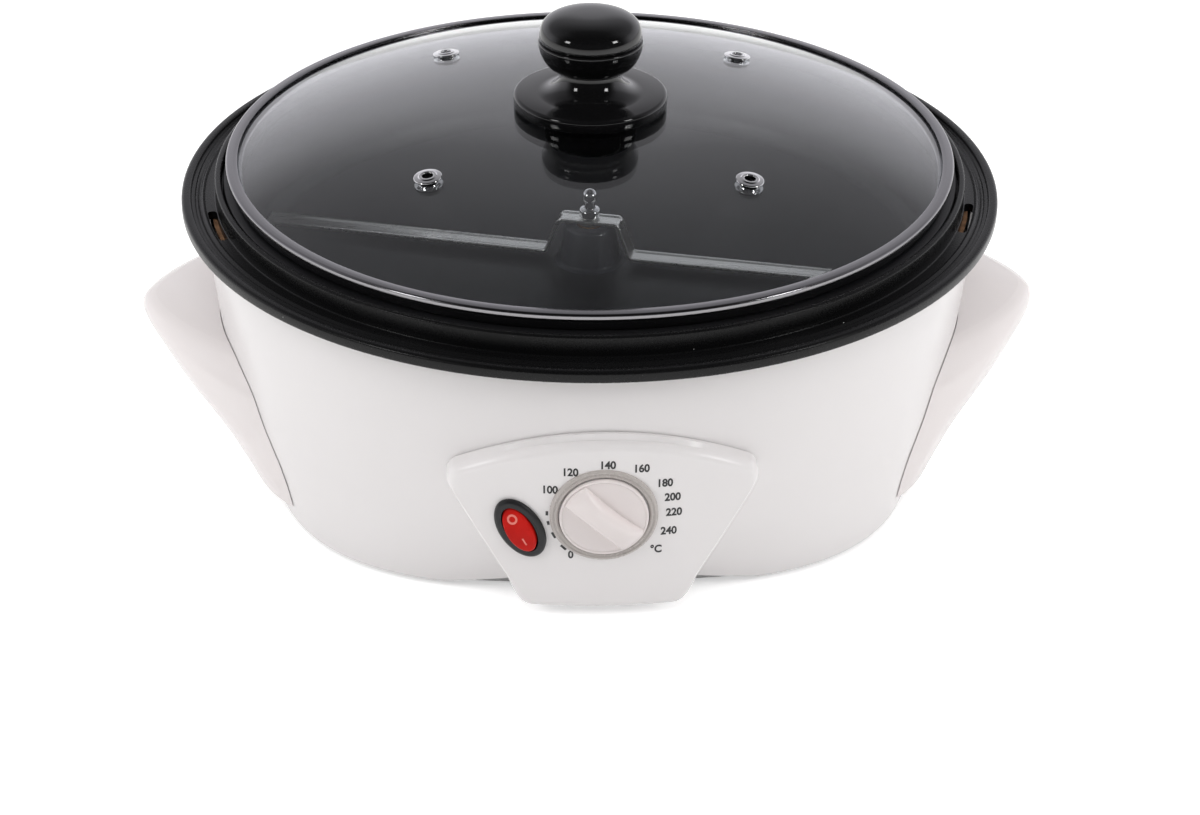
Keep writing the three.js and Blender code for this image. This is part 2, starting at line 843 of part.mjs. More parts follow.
// Piece: ring heater, one bent tube whose two ends turn down through the shield
class HeaterPath extends THREE.Curve {
  getPoint(share, target = new THREE.Vector3()) {
    const arcStart = heaterEnds[1];
    const arcSweep = 2 * Math.PI - heaterGapAngle;
    const bendAngle = heaterBendHeight / heaterRadius;
    const tailShare = heaterTail / (heaterRadius * arcSweep);
    const along = share * (1 + 2 * tailShare) - tailShare;
    const clamped = THREE.MathUtils.clamp(along, 0, 1);
    const past = Math.max(-along, along - 1, 0) / tailShare;
    const nearEnd = Math.min(clamped, 1 - clamped) * arcSweep;
    const bend = Math.max(0, 1 - nearEnd / bendAngle);
    const drop = heaterBendHeight * bend * bend + past * heaterTail;
    const angle = arcStart + clamped * arcSweep;
    const height = heaterHeight - drop;
    return target.set(heaterRadius * Math.cos(angle), heaterRadius * Math.sin(angle), height);
  }
}

function heater() {
  const section = ovalShape(heaterTubeRadius, heaterTubeRadius);
  return new THREE.ExtrudeGeometry(section, {
    steps: roundSteps + smallSteps,
    curveSegments: smallSteps / 4,
    extrudePath: new HeaterPath(),
  });
}

// Piece: block under the heater's tube
function heaterBracket() {
  const low = shieldFloorTop + gap;
  const high = heaterHeight - heaterTubeRadius - gap;
  return block(bracketDepth, bracketWidth, low, high);
}

// Piece: gearbox with two screw ears and a blind bore for the shaft
function gearbox() {
  const ears = block(2 * earOffset, 2 * earRadius, gearboxTop - screwGrip - overrun, gearboxTop);
  const rounds = [-earOffset, earOffset].map((x) => {
    return shifted(cylinder(earRadius, gearboxTop - screwGrip - overrun, gearboxTop, smallSteps), x, 0, 0);
  });
  const can = cylinder(gearboxRadius, gearboxLow, gearboxTop, middleSteps);
  const tools = [-earOffset, earOffset].map((x) => {
    const low = gearboxTop - screwGrip - 2 * overrun;
    return shifted(cylinder(screwHole, low, gearboxTop + overrun, smallSteps), x, 0, 0);
  });
  tools.push(cylinder(boreRadius, gearboxTop - gearboxBoreDepth, gearboxTop + overrun, smallSteps));
  return cut(join(can, [ears, ...rounds]), tools);
}

// Piece: motor can with its rear bearing cap
function motor() {
  const edge = motorCapHeight / 2;
  return lathe([
    [0, motorLow - motorCapHeight],
    [motorCapRadius, motorLow - motorCapHeight],
    [motorCapRadius, motorLow],
    [motorRadius - edge, motorLow],
    [motorRadius, motorLow + edge],
    [motorRadius, motorTop],
    [0, motorTop],
  ], middleSteps);
}

// Lid glass: height of its upper face over a radius
function glassTop(radius) {
  return glassCrown - glassDrop * (radius / glassRadius) ** glassExponent;
}

const glassRowShares = [0.35, 0.6, 0.8, 1];
const grommetSlope = Math.atan2(
  glassDrop * glassExponent * (grommetOrbit / glassRadius) ** (glassExponent - 1),
  glassRadius,
);
const grommetFrames = [];
for (let turn = 0; turn < grommetCount; turn += 1) {
  const azimuth = grommetTurn + Math.PI / grommetCount + (2 * Math.PI * turn) / grommetCount;
  const frame = new THREE.Matrix4().makeRotationZ(azimuth);
  frame.multiply(new THREE.Matrix4().makeRotationY(grommetSlope));
  const x = grommetOrbit * Math.cos(azimuth);
  const y = grommetOrbit * Math.sin(azimuth);
  frame.setPosition(x, y, glassTop(grommetOrbit));
  grommetFrames.push(frame);
}

// Piece: domed glass with a centre hole and four vent holes
function lidGlass() {
  const radii = [glassHoleRadius, ...glassRowShares.map((share) => share * glassRadius)];
  const upper = radii.map((radius) => [radius, glassTop(radius)]);
  const lower = radii.map((radius) => [radius, glassTop(radius) - glassThickness]);
  const dome = closedLathe([...lower, ...upper.reverse()], roundSteps);
  const vent = cylinder(grommetNeckRadius + gap, -glassThickness - overrun, overrun, smallSteps);
  return cut(dome, grommetFrames.map((frame) => moved(vent, frame)));
}

// Piece: steel band round the glass, with a skirt that drops inside the pan
const bandLapRadius = bandRadius - bandLap;
const bandLow = panRimTop + gap;
function lidBand() {
  const lapLow = glassTop(bandLapRadius) + gap;
  const footTop = bandLow + bandSheet;
  const footInner = bandRadius - bandFootLap;
  const inside = bandRadius - bandSheet;
  return closedLathe([
    [footInner, bandLow - bandSkirt],
    [footInner + bandSheet, bandLow - bandSkirt],
    [footInner + bandSheet, bandLow],
    [bandRadius, bandLow],
    [bandRadius, lapLow + bandSheet / 2],
    [inside, lapLow + bandSheet],
    [bandLapRadius, lapLow + bandSheet],
    [bandLapRadius, lapLow],
    [inside, lapLow],
    [inside, footTop],
    [footInner, footTop],
  ], roundSteps);
}

// Piece: vent grommet, its z axis square to the glass and zero on the glass's upper face
function ventGrommet() {
  const lowFace = -glassThickness - gap;
  const bead = grommetFlange / 2;
  return closedLathe([
    [grommetBore, lowFace - grommetFlange],
    [grommetRadius - bead, lowFace - grommetFlange],
    [grommetRadius, lowFace],
    [grommetNeckRadius, lowFace],
    [grommetNeckRadius, gap],
    [grommetRadius, gap],
    [grommetRadius - bead, gap + grommetFlange],
    [grommetBore, gap + grommetFlange],
  ], smallSteps);
}

// Piece: lid knob grip, one moulding with disc, neck and lower bowl
const knobLow = glassCrown + gap;
const knobDiscTop = knobLow + knobDiscHeight;
const knobNeckHeight = knobDiscTop + knobNeckLength;
const knobSeam = knobNeckHeight + knobBowlHeight;
const knobTop = knobSeam + knobCapHeight;
const knobBore = knobScrewRadius + gap;
const seatTop = glassTop(seatRadius) - glassThickness - gap;
const seatLow = seatTop - seatHeight;
const knobScrewHeadLow = seatLow + gap;
const knobScrewShoulder = knobScrewHeadLow + knobScrewHeadHeight;
const knobScrewTip = knobSeam - knobScrewCover;
function knobGrip() {
  const bowl = [];
  for (let step = 0; step <= smallSteps / 2; step += 1) {
    const angle = (Math.PI * step) / smallSteps;
    const spread = knobHeadRadius - knobNeckRadius;
    const lift = knobSeam - gap - knobNeckHeight;
    const height = knobNeckHeight + lift * (1 - Math.cos(angle));
    bowl.push([knobNeckRadius + spread * Math.sin(angle), height]);
  }
  const flare = [];
  for (let step = 0; step < smallSteps / 4; step += 1) {
    const angle = (2 * Math.PI * step) / smallSteps;
    const spread = knobFlareRadius - knobNeckRadius;
    const lift = knobNeckHeight - knobDiscTop;
    const height = knobDiscTop + lift * (1 - Math.cos(angle));
    flare.push([knobFlareRadius - spread * Math.sin(angle), height]);
  }
  return lathe([
    [0, knobScrewTip + gap],
    [knobBore, knobScrewTip + gap],
    [knobBore, knobLow],
    [knobDiscRadius - knobDiscEdge, knobLow],
    [knobDiscRadius, knobLow + knobDiscEdge],
    [knobDiscRadius, knobDiscTop - knobDiscEdge],
    [knobDiscRadius - knobDiscEdge, knobDiscTop],
    ...flare,
    ...bowl,
    [0, knobSeam - gap],
  ], middleSteps);
}

// Piece: domed cap that closes the knob's head
function knobCap() {
  const dome = [[0, knobSeam]];
  for (let step = 0; step <= smallSteps / 2; step += 1) {
    const angle = (Math.PI * step) / smallSteps;
    dome.push([knobHeadRadius * Math.cos(angle), knobSeam + (knobTop - knobSeam) * Math.sin(angle)]);
  }
  dome[dome.length - 1][0] = 0;
  return lathe(dome, middleSteps);
}

// Piece: round seat that clamps the glass from below, with a well for the screw's head
function knobSeat() {
  const wellRadius = knobScrewHeadRadius + gap;
  const wellTop = knobScrewShoulder + gap;
  return closedLathe([
    [wellRadius, seatLow],
    [seatRadius - seatEdge, seatLow],
    [seatRadius, seatLow + seatEdge],
    [seatRadius, seatTop],
    [knobBore, seatTop],
    [knobBore, wellTop],
    [wellRadius, wellTop],
  ], middleSteps);
}

// Piece: screw that holds knob, glass and seat together
function knobScrew() {
  return lathe([
    [0, knobScrewHeadLow],
    [knobScrewHeadRadius, knobScrewHeadLow],
    [knobScrewHeadRadius, knobScrewShoulder],
    [knobScrewRadius, knobScrewShoulder],
    [knobScrewRadius, knobScrewTip],
    [0, knobScrewTip],
  ], smallSteps);
}

// Lower edge of the control panel's outline: a flat foot, round corners, slanted sides
function panelLowEdge(across) {
  if (across < panelFootFlat) {
    return panelBottom;
  }
  const sideFoot = panelBottom + panelFootRise;
  if (across < panelFootHalf) {
    return panelBottom + panelFootRise * ((across - panelFootFlat) / (panelFootHalf - panelFootFlat)) ** 3;
  }
  const share = (across - panelFootHalf) / (panelHalf - panelFootHalf);
  return THREE.MathUtils.lerp(sideFoot, panelShoulder, share);
}

// How far a round of this radius draws back at this distance before its end
function roundDrop(radius, left) {
  const past = THREE.MathUtils.clamp(radius - left, 0, radius);
  return radius - Math.sqrt(radius ** 2 - past ** 2);
}

// Upright slice of the panel at x, from its back round over the top, down the face and under the foot
const panelWallRadius = wallRadius(panelHeight + panelTop);
function panelSlice(x, inset) {
  const across = Math.abs(x);
  const left = panelHalf - inset - across;
  const edge = panelEdge - inset / 2;
  const front = -inset - panelFall(x) - roundDrop(edge, left);
  const drop = inset + roundDrop(panelCorner, left);
  const spread = (x / panelHalf) ** 2;
  const top = panelTop - panelTopFall * spread - drop;
  const rearTop = panelRearTop - panelRearFall * spread - drop;
  const rear = Math.sqrt(panelWallRadius ** 2 - x ** 2) - panelReach;
  const low = panelLowEdge(across + inset) + inset;
  const round = Math.min(edge, (top - low) * panelEdgeMaxShare);
  const slice = [[low, -panelDepth], [rearTop, -panelDepth], [rearTop, rear]];
  const quarter = smallSteps / 4;
  for (let step = 0; step <= quarter; step += 1) {
    const angle = (Math.PI * step) / (2 * quarter);
    slice.push([top - round + round * Math.cos(angle), front - round + round * Math.sin(angle)]);
  }
  for (let step = 0; step <= quarter; step += 1) {
    const angle = (Math.PI * step) / (2 * quarter);
    slice.push([low + round - round * Math.sin(angle), front - round + round * Math.cos(angle)]);
  }
  return slice.map(([y, z]) => new THREE.Vector3(x, y, z));
}

function panelSolid(inset) {
  const slices = [];
  for (let step = -smallSteps; step <= smallSteps; step += 1) {
    slices.push(panelSlice((panelHalf - inset) * Math.sin((Math.PI * step) / (2 * smallSteps)), inset));
  }
  return loft(slices);
}

// Piece: control panel housing, open at the back where it meets the body
const neckHalfX = switchFlangeHalfX - switchNeckInset;
const neckHalfY = switchFlangeHalfY - switchNeckInset;
const rockerHoleHalfX = rockerHalfX + rockerPlay;
const rockerHoleHalfY = rockerHalfY + rockerPlay;
function controlPanel() {
  const outer = panelSolid(0);
  const hollow = panelSolid(panelWall);
  const dialRing = tubeRing(dialRingInner, dialRingOuter, gap - panelWall, dialRingHeight, middleSteps);
  const spindleHole = cylinder(spindleRadius + gap, -panelWall - overrun, overrun, smallSteps);
  const neckOval = ovalShape(neckHalfX + gap, neckHalfY + gap);
  const neckHole = prism(neckOval, -panelWall - overrun, overrun, smallSteps);
  const body = moved(bodyForm(gap, -ringBottom, 2 * ringBottom), panelFrameBack);
  const shell = join(cut(outer, [hollow]), [dialRing]);
  return cut(shell, [spindleHole, neckHole.applyMatrix4(switchFrame), body]);
}

// Piece: temperature dial with its raised grip
function temperatureDial() {
  const low = gap;
  const disc = lathe([
    [0, low],
    [dialRadius, low],
    [dialRadius, dialHeight - dialEdge],
    [dialRadius - dialEdge, dialHeight],
    [0, dialHeight],
  ], middleSteps);
  const shape = new THREE.Shape();
  shape.moveTo(-gripHalfEnd, -gripHalfLength);
  shape.quadraticCurveTo(0, -gripHalfLength - gripHalfEnd / 4, gripHalfEnd, -gripHalfLength);
  shape.quadraticCurveTo(gripHalfWaist, 0, gripHalfEnd, gripHalfLength);
  shape.quadraticCurveTo(0, gripHalfLength + gripHalfEnd / 4, -gripHalfEnd, gripHalfLength);
  shape.quadraticCurveTo(-gripHalfWaist, 0, -gripHalfEnd, -gripHalfLength);
  const grip = prism(shape, dialHeight - dialEdge, gripTop, smallSteps / 2);
  const round = cylinder(dialRadius, 0, 2 * gripTop, middleSteps);
  const socket = cylinder(spindleRadius + gap, -overrun, dialHeight + gap, smallSteps);
  return cut(join(disc, [common(grip, round)]), [socket]);
}

// Piece: thermostat spindle
function spindle() {
  return cylinder(spindleRadius, thermostatTop - thermostatBore + gap, dialHeight, smallSteps);
}

// Piece: thermostat behind the dial
function thermostat() {
  const body = block(thermostatWidth, thermostatHeight, thermostatTop - thermostatDepth, thermostatTop);
  const bore = cylinder(spindleRadius + gap, thermostatTop - thermostatBore, overrun, smallSteps);
  return cut(body, [bore]);
}

// Piece: black oval switch frame with its neck through the panel
function switchFrameBezel() {
  const flange = prism(ovalShape(switchFlangeHalfX, switchFlangeHalfY), gap, switchFlangeHeight, smallSteps);
  const neck = prism(ovalShape(neckHalfX, neckHalfY), -switchNeckDepth, switchFlangeHeight, smallSteps);
  const hole = ovalShape(rockerHoleHalfX, rockerHoleHalfY);
  const opening = prism(hole, -switchNeckDepth - overrun, switchFlangeHeight + overrun, smallSteps);
  return cut(join(flange, [neck]), [opening]);
}

// Piece: red rocker with a crowned face, turned about the short axis
function rocker() {
  const button = prism(ovalShape(rockerHalfX, rockerHalfY), rockerLow, rockerHigh, smallSteps);
  const crownRadius = (rockerHalfY ** 2 + rockerCrown ** 2) / (2 * rockerCrown);
  const crown = cylinder(crownRadius, -switchFlangeHalfX, switchFlangeHalfX, 2 * roundSteps);
  crown.rotateY(Math.PI / 2);
  crown.translate(0, 0, rockerHigh - crownRadius);
  return common(button, crown);
}

// Piece: side handle, a hollow ear that flares out towards the top; its own frame has +X outwards
function handleForm(inset, low, high) {
  const rings = handleRowShares.map(([heightShare, reachShare, widthShare, exponent]) => {
    const height = THREE.MathUtils.lerp(low, high, heightShare);
    const reach = formRadius(0, height) - handleInner + handleOverhang * reachShare - inset;
    const half = handleHalfWidth * widthShare - inset;
    const ring = [];
    for (let step = 0; step <= handleSteps; step += 1) {
      const angle = (Math.PI * step) / handleSteps - Math.PI / 2;
      const across = Math.sign(Math.sin(angle)) * Math.abs(Math.sin(angle)) ** (2 / exponent);
      const out = Math.max(0, Math.cos(angle)) ** (2 / exponent);
      ring.push(new THREE.Vector3(handleInner + reach * out, half * across, height));
    }
    ring[0].x = handleInner - inset;
    ring[handleSteps].x = handleInner - inset;
    return ring;
  });
  return loft(rings);
}

function handle() {
  const outer = handleForm(0, handleBottom, handleTop);
  const hollow = handleForm(handleWall, handleBottom + handleWall, handleTop - handleWall);
  const bossSteps = smallSteps;
  const frames = [-handleScrewAngle, handleScrewAngle].map((turn) => wallFrame(turn, handleScrewHeight));
  const bosses = frames.map((frame) => {
    const boss = moved(cylinder(handleBossRadius, -overrun, handleBossLength, bossSteps), frame);
    return common(boss, outer);
  });
  const bores = frames.map((frame) => moved(cylinder(screwHole, -overrun, screwGrip, bossSteps), frame));
  const body = bodyForm(gap, -ringBottom, 2 * ringBottom);
  return cut(join(cut(outer, [hollow]), bosses), [...bores, body]);
}

// Piece: gland that lines the mains entry, its z axis pointing out of the wall
function cordGland() {
  return closedLathe([
    [glandBore, -shellWall - glandFlange],
    [glandNeckRadius, -shellWall - glandFlange],
    [glandNeckRadius, 2 * gap],
    [glandFlangeRadius, 2 * gap],
    [glandFlangeRadius, glandFlange],
    [glandFlangeRadius - glandFlange / 2, glandFlange + 2 * gap],
    [glandBore, glandFlange + 2 * gap],
  ], middleSteps);
}

// Piece: moulded terminal block on the tray
function terminalBlock() {
  const low = trayTop + gap;
  const body = block(terminalWidth, terminalDepth, low, low + terminalHeight);
  const pitch = terminalWidth / terminalWellCount;
  const top = low + terminalHeight;
  const well = cylinder(terminalWellRadius, top - terminalWellDepth, top + overrun, smallSteps);
  const wells = [];
  for (let place = 0; place < terminalWellCount; place += 1) {
    const x = (place - (terminalWellCount - 1) / 2) * pitch;
    wells.push(shifted(well, x, 0, 0));
  }
  return cut(body, wells);
}

// Piece: thermal fuse under the shield's floor
function thermalFuse() {
  const body = cylinder(fuseRadius, -fuseLength / 2, fuseLength / 2, smallSteps);
  body.rotateY(Math.PI / 2);
  return shifted(body, 0, 0, shieldFloorLow - gap - fuseRadius);
}

// Assembly
const roaster = new THREE.Group();
function place(parent, name, shape, material, frame) {
  const mesh = new THREE.Mesh(shape, material);
  mesh.name = name;
  if (frame) {
    mesh.applyMatrix4(frame);
  }
  parent.add(mesh);
  return mesh;
}

function at(x, y, z, turn = 0) {
  const frame = new THREE.Matrix4().makeRotationZ(turn);
  frame.setPosition(x, y, z);
  return frame;
}

place(roaster, 'housing_shell', housingShell(), whitePlastic);
place(roaster, 'base_tray', baseTray(), blackSheet);
place(roaster, 'rim_ring', rimRing(), blackPlastic);
place(roaster, 'fibre_gasket', gasket(), fibre);
place(roaster, 'heat_shield', heatShield(), sheetMetal);
place(roaster, 'roasting_pan', pan(), panCoating);
place(roaster, 'shaft_bush', shaftBush(), bronze);
place(roaster, 'ring_heater', heater(), steel);
place(roaster, 'gearbox', gearbox(), sheetMetal);
place(roaster, 'motor', motor(), sheetMetal);
place(roaster, 'thermal_fuse', thermalFuse(), insulator, at(0, fuseOffset, 0));
place(roaster, 'terminal_block', terminalBlock(), insulator, at(0, terminalOffset, 0));
place(roaster, 'cord_gland', cordGland(), blackPlastic, glandFrame);

cornerAngles.forEach((azimuth, index) => {
  const footX = footOffset * Math.cos(azimuth);
  const footY = footOffset * Math.sin(azimuth);
  const bossX = bossOffset * Math.cos(azimuth);
  const bossY = bossOffset * Math.sin(azimuth);
  const screwFrame = at(bossX, bossY, shellBottom - gap);
  place(roaster, `foot_${index + 1}`, foot(), rubber, at(footX, footY, 0));
  place(roaster, `tray_screw_${index + 1}`, screw(screwGrip + trayThickness), steel, screwFrame);
});

for (let index = 0; index < bracketCount; index += 1) {
  const azimuth = Math.PI / 2 + (2 * Math.PI * index) / bracketCount;
  const frame = at(heaterRadius * Math.cos(azimuth), heaterRadius * Math.sin(azimuth), 0, azimuth);
  place(roaster, `heater_bracket_${index + 1}`, heaterBracket(), sheetMetal, frame);
}

[-earOffset, earOffset].forEach((x, index) => {
  const shape = screw(screwGrip).rotateX(Math.PI);
  place(roaster, `motor_screw_${index + 1}`, shape, steel, at(x, 0, shieldFloorTop + gap));
});

handleScrews.forEach((frame, index) => {
  const shape = screw(screwGrip);
  shape.translate(0, 0, -shellWall - 2 * gap);
  place(roaster, `handle_screw_${index + 1}`, shape, steel, frame);
});

const handleShape = handle();
place(roaster, 'handle_right', handleShape, whitePlastic);
place(roaster, 'handle_left', handleShape, whitePlastic, at(0, 0, 0, Math.PI));

const stirring = new THREE.Group();
place(stirring, 'drive_shaft', driveShaft(), steel);
place(stirring, 'stirrer', stirrer(), steel, at(0, 0, 0, stirrerTurn));
place(stirring, 'stirrer_nut', stirrerNut(), steel);
roaster.add(stirring);

const panelGroup = new THREE.Group();
panelGroup.applyMatrix4(panelFrame);
place(panelGroup, 'control_panel', controlPanel(), whitePlastic);
place(panelGroup, 'thermostat', thermostat(), insulator);
place(panelGroup, 'thermostat_spindle', spindle(), steel);
place(panelGroup, 'temperature_dial', temperatureDial(), whitePlastic, at(0, 0, 0, dialTurn));
roaster.add(panelGroup);

const switchGroup = new THREE.Group();
switchGroup.applyMatrix4(switchFrame);
place(switchGroup, 'switch_frame', switchFrameBezel(), glossBlack);
const rockerFrame = new THREE.Matrix4().makeRotationX(rockerTilt);
place(switchGroup, 'switch_rocker', rocker(), redPlastic, rockerFrame);
const switchBody = block(switchBodyWidth, switchBodyHeight, switchBodyTop - switchBodyDepth, switchBodyTop);
place(switchGroup, 'switch_body', switchBody, blackPlastic);
panelGroup.add(switchGroup);

const lid = new THREE.Group();
place(lid, 'lid_glass', lidGlass(), glass);
place(lid, 'lid_band', lidBand(), steel);
grommetFrames.forEach((frame, index) => {
  place(lid, `vent_grommet_${index + 1}`, ventGrommet(), steel, frame);
});
place(lid, 'knob_grip', knobGrip(), glossBlack);
place(lid, 'knob_cap', knobCap(), glossBlack);
place(lid, 'knob_seat', knobSeat(), glossBlack);
place(lid, 'knob_screw', knobScrew(), steel);
roaster.add(lid);

export default roaster;
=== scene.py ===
# %% [markdown]
# # A home coffee bean roaster
#
# A wide dark pan sits in a white moulded body, under a glass lid with a black knob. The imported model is
# the fixed frame: it says where every part is. These cells build the fine surfaces over it, give each
# one its finish, and light the whole thing like a plain studio shot.

# %% Load the frame
import math

import bmesh
import bpy
from mathutils import Matrix, Vector


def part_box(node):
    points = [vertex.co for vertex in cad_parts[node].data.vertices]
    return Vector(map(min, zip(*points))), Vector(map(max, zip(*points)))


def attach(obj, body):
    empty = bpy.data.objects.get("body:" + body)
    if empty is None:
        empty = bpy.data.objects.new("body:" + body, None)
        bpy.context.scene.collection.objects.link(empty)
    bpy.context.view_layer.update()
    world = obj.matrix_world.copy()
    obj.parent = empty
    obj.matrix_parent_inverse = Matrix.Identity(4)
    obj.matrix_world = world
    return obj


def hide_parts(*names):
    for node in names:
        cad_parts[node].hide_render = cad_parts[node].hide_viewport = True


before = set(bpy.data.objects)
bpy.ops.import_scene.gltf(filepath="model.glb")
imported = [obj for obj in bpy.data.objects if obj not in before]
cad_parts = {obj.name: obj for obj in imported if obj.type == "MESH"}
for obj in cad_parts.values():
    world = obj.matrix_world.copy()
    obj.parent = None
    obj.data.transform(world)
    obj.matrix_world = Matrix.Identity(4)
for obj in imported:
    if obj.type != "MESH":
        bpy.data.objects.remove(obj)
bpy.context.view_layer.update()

# %% [markdown]
# ## Units and fineness
#
# Everything is written in millimetres, as on a drawing, and scaled once when a mesh is made. The frame's
# round parts have few sides, so the fine ones are turned again with many more.

# %% Units and fineness
MM = 0.001
ROUND_SIDES = 192
KNOB_SIDES = 96
SMALL_SIDES = 32
CORNER_STEPS = 4
SMOOTH_ANGLE = math.radians(32)
MERGE = 1e-4
ROUND_SHARE = 0.49


def node_box(name):
    """Lowest and highest corner of a frame node, in millimetres."""
    low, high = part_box(name)
    return low / MM, high / MM


ring_low, ring_high = node_box("rim_ring")
pan_low, pan_high = node_box("roasting_pan")
glass_high = node_box("lid_glass")[1]
RING_RADIUS = ring_high.x
print("rim ring", round(2 * RING_RADIUS, 1), "mm across, lid top", round(glass_high.z, 1), "mm up")

# %% [markdown]
# ## Mesh helpers
#
# Most of this object is turned: a section swept round the upright axis. One helper sweeps any section, so
# it can also change with the angle, as the squarish foot of the body does. A second one rounds the
# corners of a section, because no moulded or bent edge is truly sharp, and a small round is what catches
# the light. Holes and trims are exact cuts with other closed meshes.


# %% Mesh helpers
def link(name, data):
    """A new object in the scene."""
    thing = bpy.data.objects.new(name, data)
    bpy.context.scene.collection.objects.link(thing)
    return thing


def plain_mesh(name, build):
    """Writes a bmesh out as a mesh."""
    mesh = bpy.data.meshes.new(name)
    build.to_mesh(mesh)
    build.free()
    return mesh


def smooth(mesh):
    """Shades a mesh smooth, apart from its sharp edges."""
    for polygon in mesh.polygons:
        polygon.use_smooth = True
    mesh.set_sharp_from_angle(angle=SMOOTH_ANGLE)
    return mesh


def result_of(thing):
    """The mesh that an object comes to with all its modifiers."""
    depsgraph = bpy.context.evaluated_depsgraph_get()
    return bpy.data.meshes.new_from_object(thing.evaluated_get(depsgraph))


def finish_mesh(name, build):
    """Turns a bmesh in millimetres into a linked object in metres, with its faces pointing out."""
    bmesh.ops.remove_doubles(build, verts=build.verts, dist=MERGE)
    loose = [edge for edge in build.edges if not edge.link_faces]
    bmesh.ops.delete(build, geom=loose, context="EDGES")
    bmesh.ops.recalc_face_normals(build, faces=build.faces)
    if build.calc_volume(signed=True) < 0:
        bmesh.ops.reverse_faces(build, faces=build.faces)
    bmesh.ops.scale(build, vec=(MM, MM, MM), verts=build.verts)
    return link(name, smooth(plain_mesh(name, build)))


def fan(start, end, steps):
    """Evenly spaced values from start to end."""
    return [start + (end - start) * step / steps for step in range(steps + 1)]


def polar(radius, azimuth, *height):
    """A point from its radius and azimuth, and its height if one is given."""
    return radius * math.cos(azimuth), radius * math.sin(azimuth), *height


def rounded(corners, steps=CORNER_STEPS):
    """Closed section from (across, up, radius) corners, each rounded by its radius."""
    points = []
    for index, (across, up, radius) in enumerate(corners):
        here = Vector((across, up))
        before = Vector(corners[index - 1][:2]) - here
        after = Vector(corners[(index + 1) % len(corners)][:2]) - here
        if radius == 0:
            points.append(tuple(here))
            continue
        half = before.angle(after) / 2
        reach = min(radius / math.tan(half), ROUND_SHARE * before.length, ROUND_SHARE * after.length)
        radius = reach * math.tan(half)
        middle = (before.normalized() + after.normalized()).normalized()
        centre = here + middle * radius / math.sin(half)
        start = here + before.normalized() * reach - centre
        end = here + after.normalized() * reach - centre
        turn = start.angle(end)
        for share in fan(0, 1, steps):
            first = math.sin((1 - share) * turn) / math.sin(turn)
            second = math.sin(share * turn) / math.sin(turn)
            points.append(tuple(centre + start * first + end * second))
    return points


def sweep(name, section, sides=ROUND_SIDES):
    """Sweeps a closed section round the upright axis. section(azimuth) gives its (radius, height) points."""
    build = bmesh.new()
    rings = []
    for azimuth in fan(0, 2 * math.pi, sides)[:-1]:
        rings.append([build.verts.new(polar(radius, azimuth, height)) for radius, height in section(azimuth)])
    for here, there in zip(rings, rings[1:] + rings[:1]):
        for point in range(len(here)):
            after = (point + 1) % len(here)
            build.faces.new((here[point], there[point], there[after], here[after]))
    return finish_mesh(name, build)


def turned(name, corners, sides=ROUND_SIDES, steps=CORNER_STEPS):
    """A turned piece from (radius, height, rounding) corners. Radius zero closes on the axis."""
    section = rounded(corners, steps)
    return sweep(name, lambda azimuth: section, sides)


def loft(name, rings):
    """A closed skin through rings of points, with both ends capped."""
    build = bmesh.new()
    rows = [[build.verts.new(point) for point in ring] for ring in rings]
    for low, high in zip(rows, rows[1:]):
        for step in range(len(low)):
            after = (step + 1) % len(low)
            build.faces.new((low[step], low[after], high[after], high[step]))
    build.faces.new(list(reversed(rows[0])))
    build.faces.new(rows[-1])
    return finish_mesh(name, build)


def prism(name, outline, low, high):
    """A straight extrusion of an (x, y) outline between two heights."""
    return loft(name, [[(x, y, level) for x, y in outline] for level in (low, high)])


def box_outline(left, right, low, high):
    """Points of an upright rectangle."""
    return [(left, low), (right, low), (right, high), (left, high)]


def oval(half_x, half_y, sides=KNOB_SIDES):
    """Points of an ellipse."""
    return [(half_x * math.cos(angle), half_y * math.sin(angle)) for angle in fan(0, 2 * math.pi, sides)[:-1]]


def standing(radius, azimuth, height, lean):
    """A frame at a point round the axis, with its z axis leaned outwards."""
    turn = Matrix.Rotation(azimuth, 4, "Z") @ Matrix.Rotation(lean, 4, "Y")
    return Matrix.Translation(polar(radius, azimuth, height)) @ turn


def placed(piece, matrix):
    """Moves a piece's mesh by a matrix in millimetres, and leaves its object at the origin."""
    piece.data.transform(Matrix.Scale(MM, 4) @ matrix @ Matrix.Scale(1 / MM, 4))
    return piece


def pin(name, radius, low, high, matrix, sides=KNOB_SIDES):
    """A round pin, for cutting a hole."""
    return placed(prism(name, oval(radius, radius, sides), low, high), matrix)


def cut(piece, tools, operation="DIFFERENCE"):
    """Cuts a piece with other meshes and removes them. The result is a plain mesh."""
    for tool in tools:
        carve = piece.modifiers.new("carve", "BOOLEAN")
        carve.operation = operation
        carve.solver = "EXACT"
        carve.object = tool
    mesh = result_of(piece)
    piece.modifiers.clear()
    piece.data = smooth(mesh)
    for tool in tools:
        bpy.data.objects.remove(tool)
    return piece


def joined(name, pieces):
    """Joins several pieces of one body into one mesh."""
    build = bmesh.new()
    for piece in pieces:
        build.from_mesh(piece.data)
        bpy.data.objects.remove(piece)
    bmesh.ops.remove_doubles(build, verts=build.verts, dist=MERGE * MM)
    return link(name, plain_mesh(name, build))


def settle(piece, body, slot, material, *nodes):
    """Gives a finished piece its material and its body, and hides the frame nodes it stands for. Its slot
    argument is not used.
    """
    piece.data.materials.clear()
    piece.data.materials.append(material)
    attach(piece, body)
    if nodes:
        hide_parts(*nodes)
    print(piece.name, "on", body, len(piece.data.polygons), "faces")
    return piece


# %% [markdown]
# ## Shared surface effects
#
# A real finish varies: roughness drifts with handling, a moulding has a faint grain, metal keeps the marks
# of its forming. Each effect is a node group, built once, and each material sets its own values. The
# groups give out colours, masks and heights only, and the shader stays in the material.


